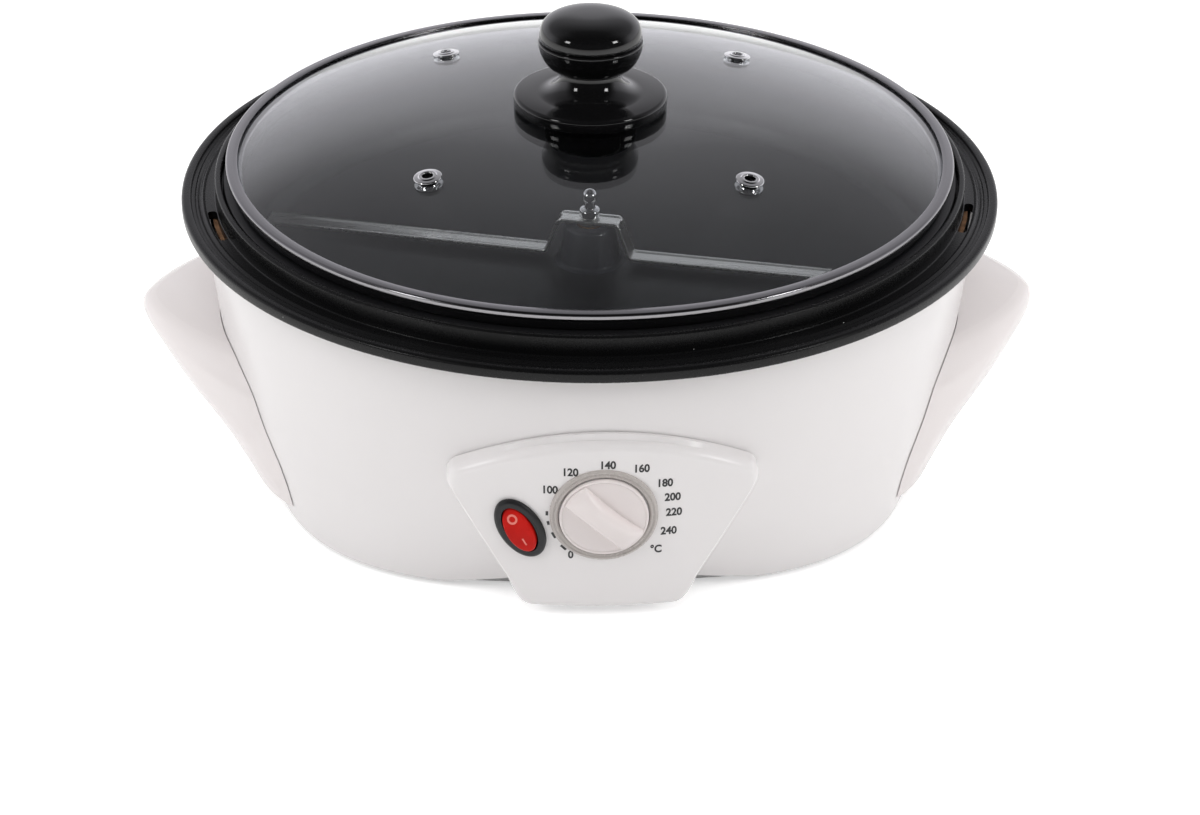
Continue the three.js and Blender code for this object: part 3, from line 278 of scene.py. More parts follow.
# %% Node helpers
def put(tree, socket, value):
    """Links a socket to another one, or sets its own value."""
    if isinstance(value, bpy.types.NodeSocket):
        tree.links.new(value, socket)
    else:
        socket.default_value = value


def add_node(tree, kind, group=None, **inputs):
    """A node with its named inputs linked or set."""
    node = tree.nodes.new(kind)
    if group is not None:
        node.node_tree = group
    for label, value in inputs.items():
        put(tree, node.inputs[label.replace("_", " ")], value)
    return node


def fed(tree, node, *values):
    """Feeds a node's inputs in their order and returns its first output."""
    for socket, value in zip(node.inputs, values):
        put(tree, socket, value)
    return node.outputs[0]


def add_math(tree, operation, *values):
    """The result of a Math node on values or sockets."""
    node = tree.nodes.new("ShaderNodeMath")
    node.operation = operation
    return fed(tree, node, *values)


def add_mix(tree, share, first, second):
    """A colour between two others."""
    node = tree.nodes.new("ShaderNodeMix")
    node.data_type = "RGBA"
    for slot, value in ((0, share), (6, first), (7, second)):
        put(tree, node.inputs[slot], value)
    return node.outputs[2]


def new_group(name, outputs, **inputs):
    """A shader node group with named sockets. An input's kind follows from its default."""
    group = bpy.data.node_groups.new(name, "ShaderNodeTree")
    for label, value in dict(Vector=None, **inputs).items():
        kind = "Vector" if value is None else "Float" if isinstance(value, float) else "Color"
        socket = group.interface.new_socket(name=label.replace("_", " "), in_out="INPUT",
                                            socket_type="NodeSocket" + kind)
        if value is not None:
            socket.default_value = value
    for label, kind in outputs.items():
        group.interface.new_socket(name=label, in_out="OUTPUT", socket_type="NodeSocket" + kind)
    return group, group.nodes.new("NodeGroupInput").outputs, group.nodes.new("NodeGroupOutput").inputs


# %% Grain: roughness that drifts and a height for the bump
def grain_group():
    group, given, out = new_group("surface grain", {"Roughness": "Float", "Height": "Float"}, Scale=900.0,
                                  Drift_Scale=30.0, Low=0.2, High=0.4)
    fine = add_node(group, "ShaderNodeTexNoise", Vector=given["Vector"], Scale=given["Scale"],
                    Detail=3).outputs["Fac"]
    drift = add_node(group, "ShaderNodeTexNoise", Vector=given["Vector"], Scale=given["Drift Scale"],
                     Detail=4).outputs["Fac"]
    spread = add_node(group, "ShaderNodeMapRange", Value=add_math(group, "ADD", fine, drift),
                      From_Min=0.7, From_Max=1.3, To_Min=given["Low"], To_Max=given["High"])
    put(group, out["Roughness"], spread.outputs["Result"])
    put(group, out["Height"], fine)
    return group


# %% Tone: a second colour that drifts over the first
def tone_group():
    group, given, out = new_group("surface tone", {"Colour": "Color"}, Scale=20.0, Colour=(0.5, 0.5, 0.5, 1),
                                  Second_Colour=(0.4, 0.4, 0.4, 1), Share=0.5)
    noise = add_node(group, "ShaderNodeTexNoise", Vector=given["Vector"], Scale=given["Scale"], Detail=5)
    spread = add_node(group, "ShaderNodeMapRange", Value=noise.outputs["Fac"], From_Min=0.35,
                      From_Max=0.65, To_Max=given["Share"])
    mix = add_mix(group, spread.outputs["Result"], given["Colour"], given["Second Colour"])
    put(group, out["Colour"], mix)
    return group


# %% Specks: a few small dots of dust
def speck_group():
    group, given, out = new_group("specks", {"Mask": "Float"}, Scale=200.0, Size=0.2, Share=0.1)
    cells = add_node(group, "ShaderNodeTexVoronoi", Vector=given["Vector"], Scale=given["Scale"]).outputs
    near = add_math(group, "LESS_THAN", cells["Distance"], given["Size"])
    parts = add_node(group, "ShaderNodeSeparateColor", Color=cells["Color"])
    chosen = add_math(group, "LESS_THAN", parts.outputs["Red"], given["Share"])
    put(group, out["Mask"], add_math(group, "MULTIPLY", near, chosen))
    return group


# %% Turning: the vector that keeps a pattern in rings round the upright axis
def turning_group():
    group, given, out = new_group("turning marks", {"Vector": "Vector"})
    parts = add_node(group, "ShaderNodeSeparateXYZ", Vector=given["Vector"]).outputs
    squares = [add_math(group, "MULTIPLY", parts[axis], parts[axis]) for axis in "XY"]
    radius = add_math(group, "SQRT", add_math(group, "ADD", *squares))
    put(group, out["Vector"], add_node(group, "ShaderNodeCombineXYZ", X=radius, Z=parts["Z"]).outputs[0])
    return group


GRAIN = grain_group()
TONE = tone_group()
SPECKS = speck_group()
TURNING = turning_group()
print("effect groups:", [group.name for group in (GRAIN, TONE, SPECKS, TURNING)])

# %% [markdown]
# ## The materials
#
# One function lays out every material in the same order: where the pattern is read, the drifting tone, the
# specks, the grain, and the shader with its plain constants. What differs is the values. Colours are
# linear, as the shader takes them.


# %% Material builder
def surface(name, colour, second, share=0.5, tone_scale=20.0, rough=(0.25, 0.35), grain_scale=900.0,
            drift_scale=30.0, bump=0.02, stretch=(1, 1, 1), rings=False, specks=None, speck_colour=None,
            **constants):
    """A Principled material with drifting tone, grain and optional specks. constants go on its sockets."""
    material = bpy.data.materials.new(name)
    material.use_nodes = True
    tree = material.node_tree
    place = tree.nodes.new("ShaderNodeTexCoord").outputs["Object"]
    vector = add_node(tree, "ShaderNodeMapping", Vector=place, Scale=stretch).outputs["Vector"]
    if rings:
        vector = add_node(tree, "ShaderNodeGroup", TURNING, Vector=vector).outputs["Vector"]
    base = add_node(tree, "ShaderNodeGroup", TONE, Vector=vector, Scale=tone_scale, Colour=(*colour, 1),
                    Second_Colour=(*second, 1), Share=share).outputs["Colour"]
    if specks:
        scale, size, amount = specks
        dots = add_node(tree, "ShaderNodeGroup", SPECKS, Vector=place, Scale=scale, Size=size, Share=amount)
        base = add_mix(tree, dots.outputs["Mask"], base, (*speck_colour, 1))
    grain = add_node(tree, "ShaderNodeGroup", GRAIN, Vector=vector, Scale=grain_scale,
                     Drift_Scale=drift_scale, Low=rough[0], High=rough[1])
    constants.update(Base_Color=base, Roughness=grain.outputs["Roughness"])
    if bump:
        relief = add_node(tree, "ShaderNodeBump", Strength=bump, Distance=MM, Height=grain.outputs["Height"])
        constants["Normal"] = relief.outputs["Normal"]
    for label, value in constants.items():
        put(tree, tree.nodes["Principled BSDF"].inputs[label.replace("_", " ")], value)
    return material


# %% [markdown]
# ### Plastics
#
# The body is glossy off-white styrene: nearly neutral, a touch warm, with a soft sheen. The rim ring is
# satin black with a little dust on it. The knob is polished black, and the switch frame duller.

# %% Plastic finishes
white_plastic = surface("white plastic", (0.78, 0.757, 0.757), (0.765, 0.74, 0.739), tone_scale=3.0,
                        rough=(0.2, 0.27), grain_scale=1600.0, drift_scale=9.0, bump=0.003)
handle_plastic = surface("handle plastic", (0.80, 0.755, 0.75), (0.785, 0.735, 0.728), tone_scale=5.0,
                         rough=(0.18, 0.25), grain_scale=1600.0, drift_scale=12.0, bump=0.003)
dial_plastic = surface("dial plastic", (0.77, 0.71, 0.70), (0.745, 0.68, 0.67), tone_scale=30.0,
                       rough=(0.16, 0.24), grain_scale=1800.0, bump=0.003)
# The dial surround is the same white moulding as the panel: its grey-beige colour is painted shade, for the
# shade round the dial.
surround_painted_shade = surface("dial surround painted shade", (0.45, 0.415, 0.395), (0.41, 0.375, 0.355),
                           tone_scale=40.0, rough=(0.22, 0.3), bump=0.003)
black_plastic = surface("satin black plastic", (0.003, 0.003, 0.0032), (0.005, 0.005, 0.0054),
                        tone_scale=14.0, rough=(0.22, 0.34), grain_scale=1500.0, specks=(260.0, 0.055, 0.03),
                        speck_colour=(0.5, 0.5, 0.5), Specular_IOR_Level=0.22)
gloss_black = surface("polished black plastic", (0.003, 0.003, 0.0032), (0.006, 0.006, 0.0064),
                      tone_scale=25.0, rough=(0.05, 0.1), grain_scale=600.0, drift_scale=45.0, bump=0.002)
red_plastic = surface("clear red plastic", (0.52, 0.008, 0.004), (0.36, 0.004, 0.003), tone_scale=120.0,
                      share=0.6, rough=(0.3, 0.42), grain_scale=1200.0, bump=0.02, Specular_IOR_Level=0.12)
bezel_plastic = surface("switch frame plastic", (0.012, 0.012, 0.013), (0.017, 0.017, 0.018), tone_scale=60.0,
                        rough=(0.32, 0.42), grain_scale=1500.0, bump=0.02, Specular_IOR_Level=0.3)
red_mark = surface("rocker mark", (0.75, 0.2, 0.16), (0.65, 0.15, 0.12), tone_scale=300.0,
                   rough=(0.25, 0.35), bump=0.0)
print_ink = surface("printed ink", (0.012, 0.012, 0.013), (0.03, 0.03, 0.03), tone_scale=500.0,
                    rough=(0.4, 0.55), grain_scale=3000.0, bump=0.05)
insulator = surface("cream insulator", (0.70, 0.64, 0.53), (0.62, 0.55, 0.44), tone_scale=60.0,
                    rough=(0.5, 0.65), grain_scale=1500.0, bump=0.1)
rubber = surface("black rubber", (0.018, 0.018, 0.018), (0.03, 0.029, 0.028), tone_scale=90.0,
                 rough=(0.75, 0.95), grain_scale=2500.0, bump=0.25)
fibre = surface("pressed brown fibre", (0.30, 0.16, 0.085), (0.16, 0.085, 0.045), share=1.0,
                tone_scale=400.0, stretch=(1, 1, 5), rough=(0.8, 0.95), grain_scale=2200.0, bump=0.4)

# %% [markdown]
# ### Metals and coatings
#
# Turned and spun metal keeps fine rings, so its grain is read in rings round the axis. The stirrer is a
# drawn strap, so its grain runs along it. The pan has a dark non-stick coat with a soft sheen.

# %% Metal finishes
pan_coat = surface("dark pan coating", (0.008, 0.008, 0.009), (0.012, 0.012, 0.013), tone_scale=12.0,
                   rough=(0.36, 0.46), grain_scale=2400.0, bump=0.0, Specular_IOR_Level=0.3)
hub_coat = surface("hub coating", (0.016, 0.017, 0.021), (0.024, 0.025, 0.03), tone_scale=160.0,
                   rough=(0.26, 0.36), grain_scale=2600.0, bump=0.12)
band_steel = surface("spun steel", (0.27, 0.265, 0.275), (0.22, 0.215, 0.225), tone_scale=500.0,
                     rough=(0.12, 0.2), grain_scale=2600.0, drift_scale=300.0, bump=0.03, rings=True,
                     Metallic=1.0)
strap_steel = surface("drawn steel strap", (0.82, 0.82, 0.8), (0.72, 0.72, 0.7), tone_scale=300.0,
                      rough=(0.24, 0.34), grain_scale=1800.0, bump=0.0, stretch=(0.06, 1, 1), Metallic=1.0)
chrome = surface("bright plate", (0.74, 0.74, 0.745), (0.68, 0.68, 0.685), tone_scale=90.0,
                 rough=(0.05, 0.13), grain_scale=900.0, bump=0.01, Metallic=1.0)
screw_steel = surface("screw steel", (0.46, 0.455, 0.45), (0.36, 0.355, 0.35), tone_scale=300.0,
                      rough=(0.28, 0.42), grain_scale=1800.0, bump=0.05, Metallic=1.0)
sheet_metal = surface("plain sheet metal", (0.42, 0.42, 0.41), (0.34, 0.34, 0.335), tone_scale=45.0,
                      rough=(0.35, 0.55), grain_scale=1500.0, bump=0.05, Metallic=1.0)
tray_sheet = surface("grey coated sheet", (0.42, 0.42, 0.42), (0.36, 0.36, 0.36), tone_scale=30.0,
                     rough=(0.4, 0.55), grain_scale=1400.0, bump=0.1)
bronze = surface("sintered bronze", (0.45, 0.26, 0.12), (0.32, 0.17, 0.07), tone_scale=200.0,
                 rough=(0.4, 0.6), grain_scale=2500.0, bump=0.2, Metallic=1.0)

# %% [markdown]
# ### Glass
#
# The lid is clear tempered glass. Light has to pass through it to reach the pan, and a path tracer finds
# that hard through a solid shell. So the glass lets most of a shadow ray through: only shadows are
# affected, and what the eye sees is still the real refraction and reflection.


# %% Glass finish
SHADOW_PASSED = 0.85


def glass_material():
    material = surface("clear lid glass", (0.93, 0.95, 0.955), (0.90, 0.925, 0.93), tone_scale=4.0,
                       rough=(0.0, 0.012), grain_scale=60.0, bump=0.0, Transmission_Weight=1.0, IOR=1.5)
    tree = material.node_tree
    shadow = tree.nodes.new("ShaderNodeLightPath").outputs["Is Shadow Ray"]
    left = add_math(tree, "SUBTRACT", 1.0, add_math(tree, "MULTIPLY", shadow, SHADOW_PASSED))
    put(tree, tree.nodes["Principled BSDF"].inputs["Alpha"], left)
    return material


clear_glass = glass_material()
print("materials:", len(bpy.data.materials))

# %% [markdown]
# ## The body
#
# The body is one deep moulding. It is round under the rim, tapers down to a soft crease, and then runs out
# into a rounded square at the ground. Front and back, its lower edge lifts in a shallow arch. A sweep can
# do all of that, because the section may change with the angle.

# %% Body values
SHELL_LOW, SHELL_HIGH = (corner.z for corner in node_box("housing_shell"))
SHELL_TOP_RADIUS = RING_RADIUS - 7.5
CREASE_RADIUS = SHELL_TOP_RADIUS - 7
CREASE_HEIGHT = 29
CREASE_SOFTNESS, CREASE_STEPS = 5, 4
SHELL_WALL = 2.5
FOOT_HALF_X = CREASE_RADIUS - 17
FOOT_HALF_Y = CREASE_RADIUS - 12
FOOT_SQUARENESS = 3
ARCH_RISE = 5
ARCH_FOOT_HALF = 58
ARCH_TOP_HALF = 30
EDGE_ROUND = 0.9
CLEARANCE = 0.3
FORM_LOW, FORM_HIGH, FORM_STEP = -20, 130, 4


def foot_radius(azimuth):
    """Radius of the body's rounded square outline at the ground."""
    x = abs(math.cos(azimuth)) / FOOT_HALF_X
    y = abs(math.sin(azimuth)) / FOOT_HALF_Y
    return (x**FOOT_SQUARENESS + y**FOOT_SQUARENESS) ** (-1 / FOOT_SQUARENESS)


def body_radius(azimuth, height):
    """Outer radius of the body, with the crease softened by a parabola."""
    upper = (SHELL_TOP_RADIUS - CREASE_RADIUS) / (SHELL_HIGH - CREASE_HEIGHT)
    lower = (CREASE_RADIUS - foot_radius(azimuth)) / (CREASE_HEIGHT - SHELL_LOW)
    past = height - CREASE_HEIGHT
    bend = abs(past)
    if bend < CREASE_SOFTNESS:
        bend = (past**2 + CREASE_SOFTNESS**2) / (2 * CREASE_SOFTNESS)
    return CREASE_RADIUS + (upper + lower) / 2 * past + (upper - lower) / 2 * bend


def lower_edge(azimuth):
    """Height of the body's lower edge, lifted by the arches front and back."""
    across = abs(foot_radius(azimuth) * math.cos(azimuth))
    if abs(math.cos(azimuth)) > abs(math.sin(azimuth)):
        return SHELL_LOW
    share = (ARCH_FOOT_HALF - across) / (ARCH_FOOT_HALF - ARCH_TOP_HALF)
    return SHELL_LOW + ARCH_RISE * min(1.0, max(0.0, share))


# %% Body shell
def shell_section(azimuth):
    low = lower_edge(azimuth)
    crease_steps = range(-CREASE_STEPS, CREASE_STEPS + 1)
    middle = [CREASE_HEIGHT + CREASE_SOFTNESS * step / CREASE_STEPS for step in crease_steps]
    outer = [low, (low + middle[0]) / 2, *middle, (middle[-1] + SHELL_HIGH) / 2, SHELL_HIGH]
    corners = [(body_radius(azimuth, height), height, 0) for height in outer]
    corners[0] = (*corners[0][:2], EDGE_ROUND)
    corners[-1] = (*corners[-1][:2], EDGE_ROUND)
    for height in reversed(outer):
        corners.append((body_radius(azimuth, height) - SHELL_WALL, height, 0))
    return rounded(corners)


def body_form():
    """The body as one solid block, a clearance larger, for cutting what sits against it."""
    rings = []
    for height in (FORM_LOW, SHELL_LOW, *range(6, 100, FORM_STEP), SHELL_HIGH, FORM_HIGH):
        level = min(max(height, SHELL_LOW), SHELL_HIGH)
        rings.append([polar(body_radius(azimuth, level) + CLEARANCE, azimuth, height)
                      for azimuth in fan(0, 2 * math.pi, ROUND_SIDES)[:-1]])
    return loft("body form", rings)


# %% [markdown]
# The mains entry is a round hole in the rear wall. Its gland is a stepped collar with its axis square to
# the sloping wall, so both take the same matrix. Behind the panel the wall is open for the thermostat and
# the switch body.

# %% Mains entry
WALL_SLOPE = math.atan2(SHELL_TOP_RADIUS - CREASE_RADIUS, SHELL_HIGH - CREASE_HEIGHT)
GLAND_HEIGHT = 41.8
GLAND_FLANGE_RADIUS = 8.5
GLAND_NECK_RADIUS = 6
GLAND_BORE = 3.6
GLAND_FLANGE = 2
GLAND_SEAT = 0.6
GLAND_CUT = (-12, 6)
PASSAGE_ROOM = 0.5
PASSAGE_DEPTH = -125


def wall_matrix(azimuth, height):
    """A frame on the body's upper wall, its z axis square to the wall and pointing out."""
    return standing(body_radius(azimuth, height), azimuth, height, math.pi / 2 + WALL_SLOPE)


def passage(name):
    """A block that opens the wall behind the panel for a piece that stands there."""
    low, high = node_box(name)
    outline = box_outline(low.x - PASSAGE_ROOM, high.x + PASSAGE_ROOM, low.y - 2 * SHELL_WALL, PASSAGE_DEPTH)
    return prism("passage", outline, low.z - PASSAGE_ROOM, high.z + PASSAGE_ROOM)


gland_matrix = wall_matrix(math.pi / 2, GLAND_HEIGHT)
gland_hole = pin("gland hole", GLAND_NECK_RADIUS + CLEARANCE, *GLAND_CUT, gland_matrix)
shell = cut(sweep("body_shell", shell_section), [gland_hole, passage("thermostat"), passage("switch_body")])
settle(shell, "base", "white_plastic", white_plastic, "housing_shell")

gland_depth = SHELL_WALL + GLAND_FLANGE
gland = turned("cord_gland_collar", [
    (GLAND_BORE, -gland_depth, 0.4),
    (GLAND_NECK_RADIUS, -gland_depth, 0.5),
    (GLAND_NECK_RADIUS, GLAND_SEAT, 0),
    (GLAND_FLANGE_RADIUS, GLAND_SEAT, 0.2),
    (GLAND_FLANGE_RADIUS, GLAND_FLANGE, 0.8),
    (GLAND_FLANGE_RADIUS - 1, GLAND_FLANGE + GLAND_SEAT, 0.5),
    (GLAND_BORE, GLAND_FLANGE + GLAND_SEAT, 0.6),
], KNOB_SIDES)
settle(placed(gland, gland_matrix), "base", "black_plastic", black_plastic, "cord_gland")

# %% [markdown]
# ## The rim ring
#
# A black ring covers the joint between body and pan. From the outside in, it has a raised bead, two fine
# ridges, a flat shelf with four air slots, and an upright lip round the pan. It is turned, and the slots
# are cut with curved bars.

# %% Rim ring
RING_BOTTOM, LIP_TOP = ring_low.z, ring_high.z
SHELF_TOP = 105
BEAD_TOP = 106.5
BEAD_INNER = RING_RADIUS - 3.7
LIP_OUTER = RING_RADIUS - 13
LIP_INNER = LIP_OUTER - 2.5
PAN_MOUTH = pan_high.x - 5.5
RING_INNER = PAN_MOUTH + 2.3
PAN_RIM_TOP = pan_high.z
PAN_SHEET = 2
RIDGE, RIDGE_HALF = 0.7, 0.9


def ridge(radius):
    """Corners of one fine ridge on the shelf, from the outside in."""
    return [(radius + RIDGE_HALF, SHELF_TOP, 0.2), (radius, SHELF_TOP + RIDGE, 0.3),
            (radius - RIDGE_HALF, SHELF_TOP, 0.2)]


rim = turned("rim_ring_moulding", [
    (RING_INNER, RING_BOTTOM, 0.3),
    (RING_RADIUS, RING_BOTTOM, 0.8),
    (RING_RADIUS, BEAD_TOP, 1.3),
    (BEAD_INNER, BEAD_TOP, 0.8),
    (BEAD_INNER, SHELF_TOP, 0.4),
    *ridge(BEAD_INNER - 2.2),
    *ridge(BEAD_INNER - 4.4),
    (LIP_OUTER, SHELF_TOP, 0.6),
    (LIP_OUTER, LIP_TOP, 0.8),
    (LIP_INNER, LIP_TOP, 0.8),
    (LIP_INNER, PAN_RIM_TOP - PAN_SHEET - CLEARANCE, 0.2),
    (RING_INNER, PAN_RIM_TOP - PAN_SHEET - CLEARANCE, 0.3),
])

# %% Air slots
SLOT_INNER = LIP_OUTER + 0.4
SLOT_OUTER = SLOT_INNER + 3.4
SLOT_CENTRE = math.radians(15.5)
SLOT_HALF = math.radians(5)
SLOT_STEPS = 10


def slot_bar(centre):
    """A curved bar with round ends, as long as one slot."""
    middle = (SLOT_INNER + SLOT_OUTER) / 2
    half = (SLOT_OUTER - SLOT_INNER) / 2
    reach = SLOT_HALF - half / middle
    outline = []
    for end in (1, -1):
        azimuth = centre + end * reach
        for step in range(SLOT_STEPS + 1):
            turn = azimuth + (math.pi * step / SLOT_STEPS if end > 0 else math.pi * (1 + step / SLOT_STEPS))
            outline.append((
                middle * math.cos(azimuth) + half * math.cos(turn),
                middle * math.sin(azimuth) + half * math.sin(turn),
            ))
        for step in range(1, SLOT_STEPS):
            outline.append(polar(middle - end * half, azimuth - end * 2 * reach * step / SLOT_STEPS))
    return prism("slot bar", outline, RING_BOTTOM - 4, SHELF_TOP + 1)


slot_angles = [side + turn for side in (0, math.pi) for turn in (-SLOT_CENTRE, SLOT_CENTRE)]
rim = cut(rim, [slot_bar(angle) for angle in slot_angles])
settle(rim, "base", "black_plastic", black_plastic, "rim_ring")

# %% [markdown]
# ## The pan
#
# The pan is a spun bowl: a flat floor, a tight round into a nearly upright wall, and a flat rim. In the
# middle a hollow hub rises for the shaft. The hub's coat is a little lighter and grainier.

# %% Pan
PAN_FLOOR = pan_low.z + PAN_SHEET
WALL_FOOT = PAN_MOUTH - 1.2
FLOOR_RADIUS = WALL_FOOT - 3.3
WALL_FOOT_HEIGHT = 75
HUB_FOOT, HUB_TOP_RADIUS, HUB_TOP = 12.2, 9.7, 85
HUB_WALL = 2.5
HUB_BORE = 5.3
bowl = turned("roasting_pan_bowl", [
    (HUB_FOOT - 1, PAN_FLOOR - PAN_SHEET, 0),
    (FLOOR_RADIUS, PAN_FLOOR - PAN_SHEET, 3),
    (WALL_FOOT + PAN_SHEET, WALL_FOOT_HEIGHT - PAN_SHEET, 4),
    (PAN_MOUTH + PAN_SHEET, PAN_RIM_TOP - PAN_SHEET, 0.5),
    (pan_high.x, PAN_RIM_TOP - PAN_SHEET, 0.5),
    (pan_high.x, PAN_RIM_TOP, 0.9),
    (PAN_MOUTH, PAN_RIM_TOP, 1.4),
    (WALL_FOOT, WALL_FOOT_HEIGHT, 5),
    (FLOOR_RADIUS, PAN_FLOOR, 4),
    (HUB_FOOT - 1, PAN_FLOOR, 0),
], steps=6)
settle(bowl, "base", "pan_coating", pan_coat, "roasting_pan")
hub = turned("pan_hub", [
    (HUB_FOOT - HUB_WALL, PAN_FLOOR - PAN_SHEET, 0),
    (HUB_FOOT - 1.2, PAN_FLOOR - PAN_SHEET, 0),
    (HUB_FOOT - 1.2, PAN_FLOOR - 0.2, 0),
    (HUB_FOOT + 1.8, PAN_FLOOR + 0.06, 0),
    (HUB_FOOT, PAN_FLOOR + 0.9, 1.6),
    (HUB_TOP_RADIUS, HUB_TOP, 1.6),
    (HUB_BORE, HUB_TOP, 0.4),
    (HUB_BORE, HUB_TOP - HUB_WALL, 0),
    (HUB_TOP_RADIUS - HUB_WALL, HUB_TOP - HUB_WALL, 0),
], KNOB_SIDES)
settle(hub, "base", "pan_coating", hub_coat)

# %% [markdown]
# ## The stirrer
#
# The stirrer is one strap, bent up over the hub and down again, with a shallow dish pressed along its top.
# A middle line with real bend radii is drawn from the side, and the strap's section is carried along it.

# %% Stirrer
STRAP = 1.2
STRAP_HALF_WIDTH = 4.5
STRAP_LIP, STRAP_DISH = 1.3, 0.35
STRAP_REACH = WALL_FOOT - 2.9
WING_MIDDLE = PAN_FLOOR + 2.7 + STRAP / 2
OVER_MIDDLE = HUB_TOP + 1.2 + STRAP / 2
OVER_HALF, BEND_FOOT_HALF = 11.7, 16.9
STIRRER_TURN = math.radians(-14.2)
BEND = 2
half_over = [(OVER_HALF, OVER_MIDDLE, BEND), (BEND_FOOT_HALF, WING_MIDDLE, BEND),
             (STRAP_REACH, WING_MIDDLE, 0)]
middle_line = rounded([(-x, z, radius) for x, z, radius in reversed(half_over)] + half_over, steps=8)
half, lip = STRAP / 2, STRAP_HALF_WIDTH - STRAP_LIP
strap_section = rounded([
    (-STRAP_HALF_WIDTH, -half, 0.4), (STRAP_HALF_WIDTH, -half, 0.4), (STRAP_HALF_WIDTH, half, 0.4),
    (lip, half, 0.6), (lip - 1, half - STRAP_DISH, 0.6),
    (1 - lip, half - STRAP_DISH, 0.6), (-lip, half, 0.6), (-STRAP_HALF_WIDTH, half, 0.4),
])
strap_rings = []
for index, (x, z) in enumerate(middle_line):
    before = Vector(middle_line[max(index - 1, 0)])
    after = Vector(middle_line[min(index + 1, len(middle_line) - 1)])
    along = (after - before).normalized()
    strap_rings.append([(x - along.y * up, across, z + along.x * up) for across, up in strap_section])
strap = placed(loft("stirrer_strap", strap_rings), Matrix.Rotation(STIRRER_TURN, 4, "Z"))
settle(strap, "stirring", "steel", strap_steel, "stirrer")

# %% [markdown]
# A small plated cap nut with a ball grip holds the strap on the shaft.

# %% Stirrer nut
nut_low, nut_high = node_box("stirrer_nut")
NUT_RADIUS, NUT_HEIGHT = 4.2, 3.5
NUT_NECK, BALL_RADIUS = 2.1, 3.05
nut_top = nut_low.z + NUT_HEIGHT
ball_centre = nut_high.z - BALL_RADIUS
ball_start = math.asin(NUT_NECK / BALL_RADIUS)
BALL_STEPS = 16
ball = []
for angle in fan(math.pi - ball_start, 0, BALL_STEPS):
    ball.append((BALL_RADIUS * math.sin(angle), ball_centre + BALL_RADIUS * math.cos(angle), 0))
ball[-1] = (0, ball[-1][1], 0)
nut = turned("stirrer_cap_nut", [
    (0, nut_low.z + 1, 0),
    (NUT_RADIUS - 0.5, nut_low.z, 0.2),
    (NUT_RADIUS, nut_low.z + 0.5, 0.3),
    (NUT_RADIUS, nut_top, 0.9),
    (NUT_NECK, nut_top, 0.5),
    *ball,
], SMALL_SIDES)
settle(nut, "stirring", "plated", chrome, "stirrer_nut")

# %% [markdown]
# ## The lid
#
# The lid is a shallow dome of glass, low at the rim and nearly flat on top, so a power curve suits it
# better than a circle. A thin steel band wraps its edge, with a skirt that drops inside the pan.

# %% Lid glass
LID_RADIUS = glass_high.x
LID_CROWN = glass_high.z
LID_DROP = 18.8
LID_CURVE = 2.84
LID_THICKNESS = 4
LID_HOLE = 3.8
LID_STEPS = 40
LID_EDGE = 1.2
VENT_PAST = 3


def lid_top(radius):
    return LID_CROWN - LID_DROP * (radius / LID_RADIUS) ** LID_CURVE


GROMMET_ORBIT = 83
GROMMET_COUNT = 4
GROMMET_NECK = 3.5
grommet_lean = math.atan(LID_DROP * LID_CURVE * (GROMMET_ORBIT / LID_RADIUS) ** (LID_CURVE - 1) / LID_RADIUS)
GROMMET_FIRST = math.radians(-2.5) + math.pi / GROMMET_COUNT


def grommet_matrix(turn):
    azimuth = GROMMET_FIRST + 2 * math.pi * turn / GROMMET_COUNT
    return standing(GROMMET_ORBIT, azimuth, lid_top(GROMMET_ORBIT), grommet_lean)


radii = fan(LID_HOLE, LID_RADIUS, LID_STEPS)
upper = [(radius, lid_top(radius), 0) for radius in radii]
lower = [(radius, lid_top(radius) - LID_THICKNESS, 0) for radius in reversed(radii)]
upper[-1] = (*upper[-1][:2], LID_EDGE)
lower[0] = (*lower[0][:2], LID_EDGE)
dome = turned("lid_glass_dome", upper + lower)
vents = [pin("vent hole", GROMMET_NECK + CLEARANCE, -LID_THICKNESS - VENT_PAST, VENT_PAST,
             grommet_matrix(turn), SMALL_SIDES) for turn in range(GROMMET_COUNT)]
settle(cut(dome, vents), "lid", "glass", clear_glass, "lid_glass")

# %% Lid band
BAND_RADIUS = node_box("lid_band")[1].x
BAND_SHEET = 0.8
BAND_LAP = 4.4
BAND_FOOT = 7
BAND_SKIRT = 5.5
BAND_TUCK = 2.2
BAND_EDGE = 1.9
band_low = PAN_RIM_TOP + CLEARANCE
lap_low = lid_top(BAND_RADIUS - BAND_LAP) + CLEARANCE
foot_inner = BAND_RADIUS - BAND_FOOT
band = turned("lid_band_ring", [
    (foot_inner, band_low - BAND_SKIRT, 0.2),
    (foot_inner + BAND_SHEET, band_low - BAND_SKIRT, 0.2),
    (foot_inner + BAND_SHEET, band_low, 0.4),
    (BAND_RADIUS - BAND_TUCK, band_low, 0.7),
    (BAND_RADIUS, lap_low + BAND_SHEET - BAND_EDGE, 0.5),
    (BAND_RADIUS, lap_low + BAND_SHEET, 0.9),
    (BAND_RADIUS - BAND_LAP, lap_low + BAND_SHEET, 0.3),
    (BAND_RADIUS - BAND_LAP, lap_low, 0.2),
    (BAND_RADIUS - BAND_SHEET, lap_low, 0.5),
    (BAND_RADIUS - BAND_SHEET, lap_low + BAND_SHEET - BAND_EDGE, 0.3),
    (BAND_RADIUS - BAND_TUCK - BAND_SHEET, band_low + BAND_SHEET, 0.4),
    (foot_inner, band_low + BAND_SHEET, 0.8),
])
settle(band, "lid", "steel", band_steel, "lid_band")

# %% [markdown]
# ## Copies round the axis
#
# Four vent grommets, four feet and four screws each stand on a circle. Geometry Nodes can lay such copies
# out from a few numbers: how many, how far out, how high, where the first one is and how far each leans.
# The tree is made here in the script, its inputs have names, and its result becomes a plain mesh.


